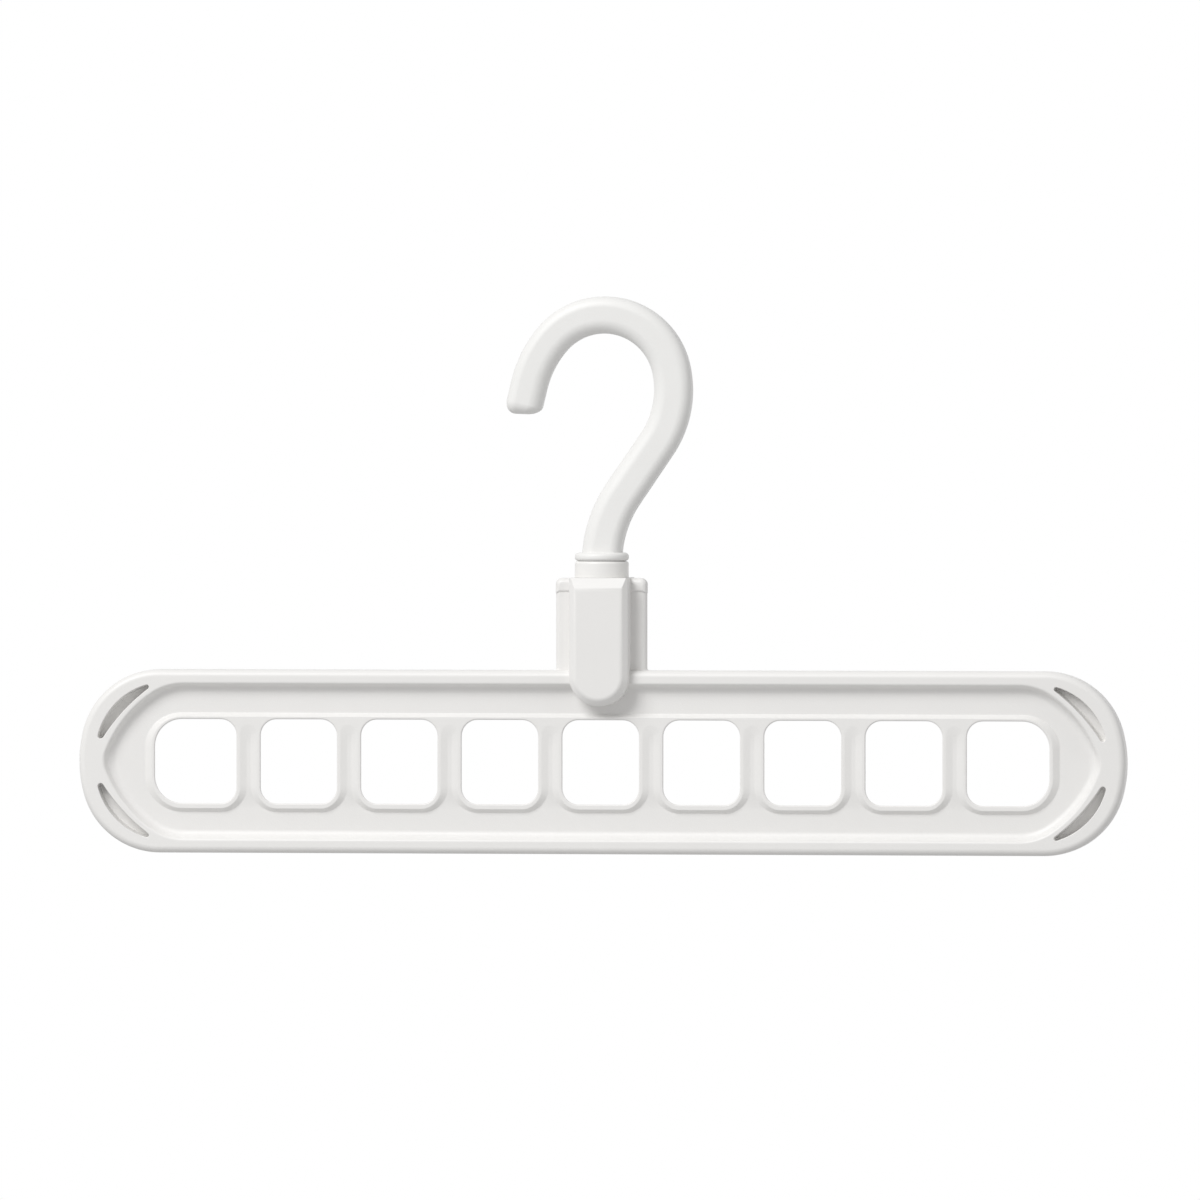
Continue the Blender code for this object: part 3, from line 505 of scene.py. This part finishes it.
def cap_bar():
    """A bar across the top of both wings with rounded lower edges, which the cap is cut to."""
    mesh = bmesh.new()
    reach = CAP_DEPTH / 2 + CAP_BAR_SPARE
    centre = (reach - CAP_FOOT_RADIUS, WING_TOP - CAP_HEIGHT + CAP_FOOT_RADIUS)
    front = arc(centre, CAP_FOOT_RADIUS, -math.pi / 2, 0, steps=7) + [(reach, TOWER_TOP + CAP_HEIGHT)]
    section = front + [(-y, z) for y, z in reversed(front)]
    ends = (-2 * WING_HALF_SPAN, 2 * WING_HALF_SPAN)
    loops = [[mesh.verts.new((x, y, z)) for y, z in section] for x in ends]
    bridge(mesh, *loops)
    for loop in loops:
        mesh.faces.new(loop)
    return moulding(mesh, "cap_bar")


def bevel_top(mesh, side):
    """Slope the top of the barrel off towards its front or its back, rounding into the face below."""
    lean = math.atan2(BARREL_BEVEL_RUN, BARREL_BEVEL_HEIGHT)
    centre_y = BARREL_HALF_DEPTH - BARREL_BEVEL_RADIUS
    centre_z = TOWER_TOP - BARREL_BEVEL_HEIGHT - BARREL_BEVEL_RADIUS * math.tan(lean / 2)
    for step in range(1, BEVEL_STEPS + 1):
        slant = lean * step / BEVEL_STEPS
        y, z = on_circle((centre_y, centre_z), BARREL_BEVEL_RADIUS, slant)
        point = (0, side * y, z)
        outwards = (0, side * math.cos(slant), math.sin(slant))
        everything = mesh.verts[:] + mesh.edges[:] + mesh.faces[:]
        bmesh.ops.bisect_plane(
            mesh, geom=everything, dist=SEWING_GAP, plane_co=point, plane_no=outwards, clear_outer=True)
        bmesh.ops.holes_fill(mesh, edges=[found for found in mesh.edges if found.is_boundary])


def merge(piece, tool, operation):
    """Join another body to a piece, or cut it out, in the mesh itself."""
    modifier = piece.modifiers.new(tool.name, "BOOLEAN")
    modifier.operation = operation
    modifier.solver = "EXACT"
    modifier.object = tool
    bpy.context.view_layer.update()
    evaluated = piece.evaluated_get(bpy.context.evaluated_depsgraph_get())
    old = piece.data
    piece.data = bpy.data.meshes.new_from_object(evaluated)
    piece.data.name = piece.name
    piece.modifiers.clear()
    bpy.data.meshes.remove(old)
    bpy.data.objects.remove(tool, do_unlink=True)


cap = wing_plate("cap", CAP_DEPTH, CAP_EDGE_RADIUS, inset=0)
merge(cap, cap_bar(), "INTERSECT")
barrel_mesh = bmesh.new()
side_corner = (0, BARREL_HALF_DEPTH - BARREL_CHAMFER)
face_corner = (-BARREL_CHAMFER, BARREL_HALF_DEPTH)
face_middle = (-BARREL_HALF_WIDTH, BARREL_HALF_DEPTH)
barrel_section = [(0, 0)] + rounded((0, 0), side_corner, face_corner, BARREL_SIDE_RADIUS)
barrel_section += rounded(side_corner, face_corner, face_middle, BARREL_FACE_RADIUS)
flat_face(barrel_mesh, [wall(barrel_mesh, barrel_edge, barrel_section)[1]])
mirror_back(barrel_mesh)
for side in (-1, 1):
    bevel_top(barrel_mesh, side)
barrel = moulding(barrel_mesh, "barrel")

wings = wing_plate("wings", WING_DEPTH, WING_EDGE_RADIUS, WING_INSET)
merge(hanger_frame, wings, "UNION")
merge(hanger_frame, cap, "UNION")
merge(hanger_frame, barrel, "UNION")

# The bore up the middle of the barrel takes the sleeve and, below it, the ring and the foot of the hook's
# shank. It is open at the top, under the neck, and blind below.
CLEARANCE = 0.0003                    # between neighbouring parts of the swivel
NECK_FLANGE = 0.00245                 # how far the neck stands out past the sleeve
SLEEVE_LENGTH = 0.0220                # down from the neck's base
RING_THICKNESS = 0.0010
SHANK_TAIL = 0.0022                   # shank below the ring's groove
BORE_RUNOUT = 0.0020                  # bore past the shank's foot and past the barrel's top
TURNED_SIDES = 120
NEARLY_FLAT = math.radians(0.05)      # faces that meet at less become one
SHARPEST_ROUND = math.radians(32)     # edges that turn by more stay sharp

SLEEVE_RADIUS = NECK_RADIUS - NECK_FLANGE
BORE_RADIUS = SLEEVE_RADIUS + CLEARANCE
NECK_BASE = TOWER_TOP + CLEARANCE
SLEEVE_FOOT = NECK_BASE - SLEEVE_LENGTH
RING_TOP = SLEEVE_FOOT - CLEARANCE
GROOVE_FOOT = RING_TOP - RING_THICKNESS - CLEARANCE
SHANK_FOOT = GROOVE_FOOT - SHANK_TAIL


def turned(name, profile, closed):
    """A turned body from its radii and heights; a closed profile gives a bored piece."""
    mesh = bmesh.new()
    angles = [2 * math.pi * i / TURNED_SIDES for i in range(TURNED_SIDES)]
    rings = []
    for radius, height in profile:
        rings.append([mesh.verts.new((*on_circle((0, 0), radius, angle), height)) for angle in angles])
    for first, second in zip(rings, rings[1:]):
        bridge(mesh, first, second)
    if closed:
        bridge(mesh, rings[-1], rings[0])
    else:
        mesh.faces.new(rings[0])
        mesh.faces.new(rings[-1])
    return moulding(mesh, name)


def soften(piece):
    """Smooth shading over the rounds, flat shading on the flats and true edges where walls meet."""
    mesh = bmesh.new()
    mesh.from_mesh(piece.data)
    bmesh.ops.dissolve_limit(mesh, angle_limit=NEARLY_FLAT, verts=mesh.verts, edges=mesh.edges)
    mesh.to_mesh(piece.data)
    mesh.free()
    piece.data.shade_smooth()
    piece.data.set_sharp_from_angle(angle=SHARPEST_ROUND)
    normals = piece.modifiers.new("flat_faces_stay_flat", "WEIGHTED_NORMAL")
    normals.mode = "FACE_AREA"
    normals.weight = 100
    normals.keep_sharp = True


bore_profile = [(BORE_RADIUS, SHANK_FOOT - BORE_RUNOUT), (BORE_RADIUS, TOWER_TOP + BORE_RUNOUT)]
merge(hanger_frame, turned("bore", bore_profile, closed=False), "DIFFERENCE")
soften(hanger_frame)


# The finish of all the mouldings: satin white plastic straight from a spark-eroded mould. It has a
# fine even grain, shallow flow marks where the melt ran, and a faint line where the mould halves met.
PLASTIC_IOR = 1.49
PITS_PER_GRAIN = 0.7                  # pits in the length of one grain
PIT_SHARE = 0.5                       # their part in the height
PART_LINE_REACH = 0.00012             # how far the line spreads from the middle plane
FINE_SHADE_SHARE = 0.35               # part of the fine grain in the shade
FLOW_SHADE_SHARE = 0.65               # and of the flow marks
FLOW_LOW = 0.3                        # range of the flow marks that takes up
FLOW_HIGH = 0.7                       # the whole range of roughness


def group_input(group, name, value):
    """A number that each material sets for itself."""
    socket = group.interface.new_socket(name=name, in_out="INPUT", socket_type="NodeSocketFloat")
    socket.default_value = value


# The grain sits in every material with its own sizes. It gives a height, a gloss and a shade.
grain = bpy.data.node_groups.new("Moulded satin grain", "ShaderNodeTree")
group_input(grain, "Grain size", 0.0004)
group_input(grain, "Flow size", 0.03)
group_input(grain, "Line strength", 1)
for name in ("Height", "Gloss", "Shade"):
    grain.interface.new_socket(name=name, in_out="OUTPUT", socket_type="NodeSocketFloat")


def add(tree, kind, **settings):
    """A node with its settings; a setting that is a number, or a colour, goes to the socket of that name."""
    node = tree.nodes.new(kind)
    for name, value in settings.items():
        if hasattr(node, name):
            setattr(node, name, value)
        else:
            node.inputs[name.replace("_", " ")].default_value = value
    return node


def math_node(tree, operation, first, second):
    """One sum; each side is a plain number or the socket that it comes from."""
    node = tree.nodes.new("ShaderNodeMath")
    node.operation = operation
    for socket, value in zip(node.inputs, (first, second)):
        if isinstance(value, bpy.types.NodeSocket):
            tree.links.new(value, socket)
        else:
            socket.default_value = value
    return node.outputs["Value"]


entry = grain.nodes.new("NodeGroupInput")
leave = grain.nodes.new("NodeGroupOutput")
on_piece = grain.nodes.new("ShaderNodeTexCoord").outputs["Object"]
grains_per_metre = math_node(grain, "DIVIDE", 1.0, entry.outputs["Grain size"])
pits_per_metre = math_node(grain, "DIVIDE", PITS_PER_GRAIN, entry.outputs["Grain size"])
flows_per_metre = math_node(grain, "DIVIDE", 1.0, entry.outputs["Flow size"])
fine = add(grain, "ShaderNodeTexNoise", Detail=3.0, Roughness=0.6)
pits = add(grain, "ShaderNodeTexVoronoi", feature="SMOOTH_F1", Smoothness=0.4)
flow = add(grain, "ShaderNodeTexNoise", Detail=4.0, Roughness=0.55, Distortion=0.8)
for texture, scale in ((fine, grains_per_metre), (pits, pits_per_metre), (flow, flows_per_metre)):
    grain.links.new(on_piece, texture.inputs["Vector"])
    grain.links.new(scale, texture.inputs["Scale"])
split = grain.nodes.new("ShaderNodeSeparateXYZ")
grain.links.new(on_piece, split.inputs["Vector"])
off_plane = math_node(grain, "ABSOLUTE", split.outputs["Y"], 0.0)
line = math_node(grain, "SUBTRACT", 1.0, math_node(grain, "DIVIDE", off_plane, PART_LINE_REACH))
line = math_node(grain, "MULTIPLY", math_node(grain, "MAXIMUM", line, 0.0), entry.outputs["Line strength"])
pitting = math_node(grain, "MULTIPLY", pits.outputs["Distance"], PIT_SHARE)
texture_height = math_node(grain, "ADD", pitting, fine.outputs["Fac"])
fine_shade = math_node(grain, "MULTIPLY", fine.outputs["Fac"], FINE_SHADE_SHARE)
flow_shade = math_node(grain, "MULTIPLY", flow.outputs["Fac"], FLOW_SHADE_SHARE)
grain.links.new(math_node(grain, "ADD", texture_height, line), leave.inputs["Height"])
grain.links.new(flow.outputs["Fac"], leave.inputs["Gloss"])
grain.links.new(math_node(grain, "ADD", flow_shade, fine_shade), leave.inputs["Shade"])


def satin_plastic(name, pale, deep, gloss, relief, grain_size, flow_size, line_strength):
    """A moulded plastic between two close whites, with a range of roughness and the depth of its grain."""
    material = bpy.data.materials.new(name)
    material.use_nodes = True
    tree = material.node_tree
    shader = tree.nodes["Principled BSDF"]
    shader.inputs["IOR"].default_value = PLASTIC_IOR
    finish = tree.nodes.new("ShaderNodeGroup")
    finish.node_tree = grain
    finish.inputs["Grain size"].default_value = grain_size
    finish.inputs["Flow size"].default_value = flow_size
    finish.inputs["Line strength"].default_value = line_strength
    tint = add(tree, "ShaderNodeMix", data_type="RGBA")
    deep_end, pale_end = [socket for socket in tint.inputs if socket.type == "RGBA"]
    deep_end.default_value = (*deep, 1)
    pale_end.default_value = (*pale, 1)
    tree.links.new(finish.outputs["Shade"], tint.inputs["Factor"])
    mixed = [socket for socket in tint.outputs if socket.type == "RGBA"][0]
    tree.links.new(mixed, shader.inputs["Base Color"])
    low, high = gloss
    rough = add(tree, "ShaderNodeMapRange", From_Min=FLOW_LOW, From_Max=FLOW_HIGH, To_Min=low, To_Max=high)
    tree.links.new(finish.outputs["Gloss"], rough.inputs["Value"])
    tree.links.new(rough.outputs["Result"], shader.inputs["Roughness"])
    bump = add(tree, "ShaderNodeBump", Strength=1.0, Distance=relief)
    tree.links.new(finish.outputs["Height"], bump.inputs["Height"])
    tree.links.new(bump.outputs["Normal"], shader.inputs["Normal"])
    return material


def dress(piece, material):
    """Give a piece its one material."""
    if piece.material_slots:
        for holder in piece.material_slots:
            holder.material = material
    else:
        piece.data.materials.append(material)


frame_white = satin_plastic(
    "frame_white_plastic", pale=(0.825, 0.815, 0.80), deep=(0.79, 0.78, 0.765), gloss=(0.38, 0.46),
    relief=0.00002, grain_size=0.0004, flow_size=0.03, line_strength=0.5)
dress(hanger_frame, frame_white)
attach(hanger_frame, "frame")
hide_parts("hanger_body")


# The sleeve: the fixed half of the swivel, a flanged bush of white acetal pressed into the barrel's
# bore. Only its round neck shows, between the barrel and the hook's collar.
NECK_HEIGHT = 0.0050
NECK_RIM_RISE = 0.0002                # rim above the neck's height
NECK_EDGE_RADIUS = 0.0009
NECK_SEAT = 0.00025                   # brings the flange down to the barrel's top
SLEEVE_WALL = 0.0022

SLEEVE_BORE = SLEEVE_RADIUS - SLEEVE_WALL
NECK_TOP = NECK_BASE + NECK_HEIGHT
NECK_RIM = NECK_TOP + NECK_RIM_RISE

sleeve_profile = [
    (SLEEVE_BORE, SLEEVE_FOOT),
    (SLEEVE_RADIUS, SLEEVE_FOOT),
    (SLEEVE_RADIUS, NECK_BASE - NECK_SEAT),
    (NECK_RADIUS, NECK_BASE - NECK_SEAT),
]
sleeve_profile += rounded((NECK_RADIUS, NECK_BASE), (NECK_RADIUS, NECK_RIM), (0, NECK_RIM), NECK_EDGE_RADIUS)
sleeve_profile += [(SLEEVE_BORE, NECK_RIM)]
swivel_bush = turned("swivel_bush", sleeve_profile, closed=True)
soften(swivel_bush)
bush_white = satin_plastic(
    "bush_white_plastic", pale=(0.86, 0.85, 0.83), deep=(0.83, 0.82, 0.80), gloss=(0.34, 0.42),
    relief=0.00001, grain_size=0.0003, flow_size=0.01, line_strength=0.0)
dress(swivel_bush, bush_white)
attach(swivel_bush, "frame")
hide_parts("swivel_sleeve")


# The hook: the turning half of the swivel, one moulding with a round collar, a grooved shank that
# reaches down through the sleeve, and the gooseneck that hangs over the rod.
COLLAR_OVERHANG = 0.00005             # past the neck's radius
COLLAR_HEIGHT = 0.0026
COLLAR_EDGE_RADIUS = 0.0013
COLLAR_UNDER_RADIUS = 0.0009
STEP_INSET = 0.0008                   # the dark groove between neck and collar
STEP_HEIGHT = 0.0001
GROOVE_DEPTH = 0.0010
SHANK_CHAMFER = 0.0008

COLLAR_RADIUS = NECK_RADIUS + COLLAR_OVERHANG
STEP_BASE = NECK_TOP + CLEARANCE
COLLAR_BASE = STEP_BASE + STEP_HEIGHT
COLLAR_TOP = COLLAR_BASE + COLLAR_HEIGHT
STEP_RADIUS = COLLAR_RADIUS - STEP_INSET
SHANK_RADIUS = SLEEVE_BORE - CLEARANCE
GROOVE_RADIUS = SHANK_RADIUS - GROOVE_DEPTH
GROOVE_TOP = RING_TOP + CLEARANCE

collar_corner = (COLLAR_RADIUS, COLLAR_TOP)
collar_foot = (COLLAR_RADIUS, COLLAR_BASE)
hook_profile = rounded((0, COLLAR_TOP), collar_corner, collar_foot, COLLAR_EDGE_RADIUS, steps=8)
hook_profile += rounded(collar_corner, collar_foot, (0, COLLAR_BASE), COLLAR_UNDER_RADIUS)
hook_profile += [
    (STEP_RADIUS, COLLAR_BASE),
    (STEP_RADIUS, STEP_BASE),
    (SHANK_RADIUS, STEP_BASE),
    (SHANK_RADIUS, GROOVE_TOP),
    (GROOVE_RADIUS, GROOVE_TOP),
    (GROOVE_RADIUS, GROOVE_FOOT),
    (SHANK_RADIUS, GROOVE_FOOT),
    (SHANK_RADIUS, SHANK_FOOT + SHANK_CHAMFER),
    (SHANK_RADIUS - SHANK_CHAMFER, SHANK_FOOT),
]
swivel_hook = turned("swivel_hook", hook_profile, closed=False)

# The gooseneck stands on the collar. Its centre line is walked upwards from there, bend by bend.
HOOK_SET = 0.00017                    # foot of the gooseneck, beside the swivel's axis
HOOK_LEAN = math.radians(4.9)         # its lean to the right there
STEM_RADIUS = 0.0409
STEM_TURN = math.radians(29.5)
STEM_STRAIGHT = 0.0198
SHOULDER_RADIUS = 0.032
SHOULDER_TURN = math.radians(47.1)
CROWN_RADIUS = 0.0228
CROWN_TURN = math.radians(126.7)
BEAK_RADIUS = 0.0367
BEAK_TURN = math.radians(27.2)
BEAK_STRAIGHT = 0.0098
HOOK_WIDTH = 0.0130
HOOK_DEPTH = 0.0122
HOOK_TAPER = 0.0010                   # how much slimmer it is at the tip
HOOK_OUTER_RADIUS = 0.0036            # corners of its section, outside the bend
HOOK_INNER_RADIUS = 0.0046            # and inside the bend
HOOK_TIP_ROUND = 0.0031               # how far the edges of the tip close in
HOOK_TIP_REACH = 0.0037               # length of the rounded tip
HOOK_TIP_NARROWING = 1.6              # more of the same taper over the tip alone
HOOK_TIP_TURN = math.radians(11)      # turns the end of the tip level
HOOK_ROOT = 0.0012                    # how deep the gooseneck stands in the collar
TIP_STEPS = 8


def walk_arc(way, radius, turn, steps):
    """Lengthen the hook's centre line by an arc; a positive turn bends to the right."""
    x, z, heading, length = way[-1]
    side = math.copysign(1, turn)
    centre = (x + side * radius * math.cos(heading), z - side * radius * math.sin(heading))
    for i in range(1, steps + 1):
        facing = heading + turn * i / steps
        x = centre[0] - side * radius * math.cos(facing)
        z = centre[1] + side * radius * math.sin(facing)
        way.append((x, z, facing, length + radius * abs(turn) * i / steps))


def walk_straight(way, distance, steps):
    """Lengthen the hook's centre line by a straight stretch."""
    x, z, heading, length = way[-1]
    for i in range(1, steps + 1):
        gone = distance * i / steps
        way.append((x + gone * math.sin(heading), z + gone * math.cos(heading), heading, length + gone))


def hook_ring(mesh, station, share, inset):
    """One cross-section of the gooseneck: a rectangle with round corners, square to its centre line."""
    x, z, heading = station[:3]
    across = Vector((math.cos(heading), 0, -math.sin(heading)))
    half_width = (HOOK_WIDTH - HOOK_TAPER * share) / 2
    half_depth = (HOOK_DEPTH - HOOK_TAPER * share) / 2
    loop = []
    for quarter, (u_sign, v_sign) in enumerate(((1, 1), (-1, 1), (-1, -1), (1, -1))):
        start = quarter * math.pi / 2
        radius = HOOK_OUTER_RADIUS if u_sign > 0 else HOOK_INNER_RADIUS
        corner = ((half_width - radius) * u_sign, (half_depth - radius) * v_sign)
        loop += arc(corner, radius - inset, start, start + math.pi / 2)
    return [mesh.verts.new(Vector((x, 0, z)) + across * u + Vector((0, v, 0))) for u, v in loop]


way = [(HOOK_SET, COLLAR_TOP, HOOK_LEAN, 0)]
walk_arc(way, STEM_RADIUS, STEM_TURN, steps=16)
walk_straight(way, STEM_STRAIGHT, steps=6)
walk_arc(way, SHOULDER_RADIUS, -SHOULDER_TURN, steps=20)
walk_arc(way, CROWN_RADIUS, -CROWN_TURN, steps=56)
walk_arc(way, BEAK_RADIUS, -BEAK_TURN, steps=12)
walk_straight(way, BEAK_STRAIGHT - HOOK_TIP_REACH, steps=3)
x, z, heading = way[0][:3]
root = (x - HOOK_ROOT * math.sin(heading), z - HOOK_ROOT * math.cos(heading), heading, 0)
gooseneck_mesh = bmesh.new()
x, z, heading, full_length = way[-1]
rings = [hook_ring(gooseneck_mesh, station, station[3] / full_length, inset=0) for station in [root] + way]
for step in range(1, TIP_STEPS + 1):
    angle = math.radians(90) * step / TIP_STEPS
    ahead = HOOK_TIP_REACH * math.sin(angle)
    closing = 1 - math.cos(angle)
    facing = heading - HOOK_TIP_TURN * math.sin(angle)
    place = (x + ahead * math.sin(heading), z + ahead * math.cos(heading), facing)
    share = 1 + HOOK_TIP_NARROWING * closing
    rings.append(hook_ring(gooseneck_mesh, place, share, inset=HOOK_TIP_ROUND * closing))
for first, second in zip(rings, rings[1:]):
    bridge(gooseneck_mesh, first, second)
gooseneck_mesh.faces.new(rings[0])
gooseneck_mesh.faces.new(rings[-1])
merge(swivel_hook, moulding(gooseneck_mesh, "gooseneck"), "UNION")
soften(swivel_hook)
hook_white = satin_plastic(
    "hook_white_plastic", pale=(0.84, 0.835, 0.82), deep=(0.81, 0.805, 0.79), gloss=(0.42, 0.50),
    relief=0.00002, grain_size=0.0004, flow_size=0.02, line_strength=0.7)
dress(swivel_hook, hook_white)
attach(swivel_hook, "hook")
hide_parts("hook")


# The retaining ring: a thin ring of white acetal, snapped into the groove at the foot of the shank. It
# sits under the sleeve, inside the barrel, and keeps the hook in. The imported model's own solid stands.
ring_white = satin_plastic(
    "ring_white_plastic", pale=(0.76, 0.75, 0.72), deep=(0.70, 0.69, 0.66), gloss=(0.40, 0.50),
    relief=0.00001, grain_size=0.0003, flow_size=0.01, line_strength=0.0)
dress(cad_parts["retaining_ring"], ring_white)


# The studio: a pale round floor well below the hanging piece, white all round, a large soft lamp on the
# upper left and a weak one on the right. The surroundings fill in the rest.
FLOOR_DROP = 0.30
FLOOR_RADIUS = 1.5
FLOOR_SIDES = 96

floor_mesh = bmesh.new()
floor_edge = arc((0, 0), FLOOR_RADIUS, 0, 2 * math.pi, steps=FLOOR_SIDES)[:-1]
floor_mesh.faces.new([floor_mesh.verts.new((x, y, 0)) for x, y in floor_edge])
floor_data = bpy.data.meshes.new("studio_floor")
floor_mesh.to_mesh(floor_data)
floor_mesh.free()
floor = bpy.data.objects.new("studio_floor", floor_data)
floor.location.z = frame_low.z - FLOOR_DROP
bpy.context.collection.objects.link(floor)

# The floor's paint is paler to the camera than to the light that it throws back up at the hanger.
floor_paint = bpy.data.materials.new("studio_floor_paint")
floor_paint.use_nodes = True
paint = floor_paint.node_tree
paint.nodes.clear()
shown = add(paint, "ShaderNodeBsdfDiffuse", Color=(0.85, 0.85, 0.85, 1))
felt = add(paint, "ShaderNodeBsdfDiffuse", Color=(0.67, 0.67, 0.67, 1))
paint_choice = paint.nodes.new("ShaderNodeMixShader")
floor_ray = paint.nodes.new("ShaderNodeLightPath")
paint.links.new(floor_ray.outputs["Is Camera Ray"], paint_choice.inputs["Fac"])
paint.links.new(felt.outputs["BSDF"], paint_choice.inputs[1])
paint.links.new(shown.outputs["BSDF"], paint_choice.inputs[2])
floor_output = paint.nodes.new("ShaderNodeOutputMaterial")
paint.links.new(paint_choice.outputs["Shader"], floor_output.inputs["Surface"])
floor_data.materials.append(floor_paint)

# The surroundings are white to look at and in reflections, and light the hanger weakly and evenly.
world = bpy.data.worlds.new("studio_white")
bpy.context.scene.world = world
world.use_nodes = True
sky = world.node_tree
sky.nodes.clear()
fill = add(sky, "ShaderNodeBackground", Color=(1, 1, 1, 1), Strength=0.37)
seen = add(sky, "ShaderNodeBackground", Color=(1, 1, 1, 1), Strength=1.0)
ray = sky.nodes.new("ShaderNodeLightPath")
either = math_node(sky, "MAXIMUM", ray.outputs["Is Camera Ray"], ray.outputs["Is Glossy Ray"])
either = math_node(sky, "MAXIMUM", either, ray.outputs["Is Transmission Ray"])
choice = sky.nodes.new("ShaderNodeMixShader")
sky.links.new(either, choice.inputs["Fac"])
sky.links.new(fill.outputs["Background"], choice.inputs[1])
sky.links.new(seen.outputs["Background"], choice.inputs[2])
sky.links.new(choice.outputs["Shader"], sky.nodes.new("ShaderNodeOutputWorld").inputs["Surface"])

LAMP_DISTANCE = 4.0


def soft_box(name, direction, size, level):
    """A round soft lamp that faces the hanger from one direction."""
    away = Vector(direction).normalized()
    lamp_data = bpy.data.lights.new(name, "AREA")
    lamp_data.shape = "DISK"
    lamp_data.size = size
    lamp_data.energy = level * math.pi ** 2 * LAMP_DISTANCE ** 2
    lamp = bpy.data.objects.new(name, lamp_data)
    lamp.location = MIDDLE + away * LAMP_DISTANCE
    lamp.rotation_euler = away.to_track_quat("Z", "Y").to_euler()
    bpy.context.collection.objects.link(lamp)


soft_box("key_soft_box", direction=(-0.41, -0.64, 0.65), size=2.4, level=0.775)
soft_box("side_soft_box", direction=(0.90, -0.30, 0.30), size=3.2, level=0.13)

# The camera: a long lens, several metres away so that the hanger shows almost without perspective. It
# stands a little to the right of the front and looks down by one degree.
VIEW_WIDTH = 0.3984                   # across the picture, at the hanger
VIEW_SIDE = -0.0006                   # middle of the picture, to the right of the hanger's
VIEW_RISE = 0.05385                   # and above the middle of the frame
VIEW_TURN = math.radians(7.2)
VIEW_LIFT = math.radians(1)

camera_data = bpy.data.cameras.new("camera")
camera_data.lens = 500
camera_data.sensor_width = 36
camera_data.clip_end = 20
camera = bpy.data.objects.new("camera", camera_data)
ahead_x, ahead_y = math.sin(VIEW_TURN), -math.cos(VIEW_TURN)
level_share = math.cos(VIEW_LIFT)
towards_viewer = Vector((ahead_x * level_share, ahead_y * level_share, math.sin(VIEW_LIFT)))
to_the_right = Vector((math.cos(VIEW_TURN), math.sin(VIEW_TURN), 0))
target = MIDDLE + to_the_right * VIEW_SIDE + Vector((0, 0, VIEW_RISE))
camera.location = target + towards_viewer * (VIEW_WIDTH * camera_data.lens / camera_data.sensor_width)
camera.rotation_euler = towards_viewer.to_track_quat("Z", "Y").to_euler()
bpy.context.collection.objects.link(camera)
bpy.context.scene.camera = camera
bpy.context.scene.view_settings.view_transform = "Standard"
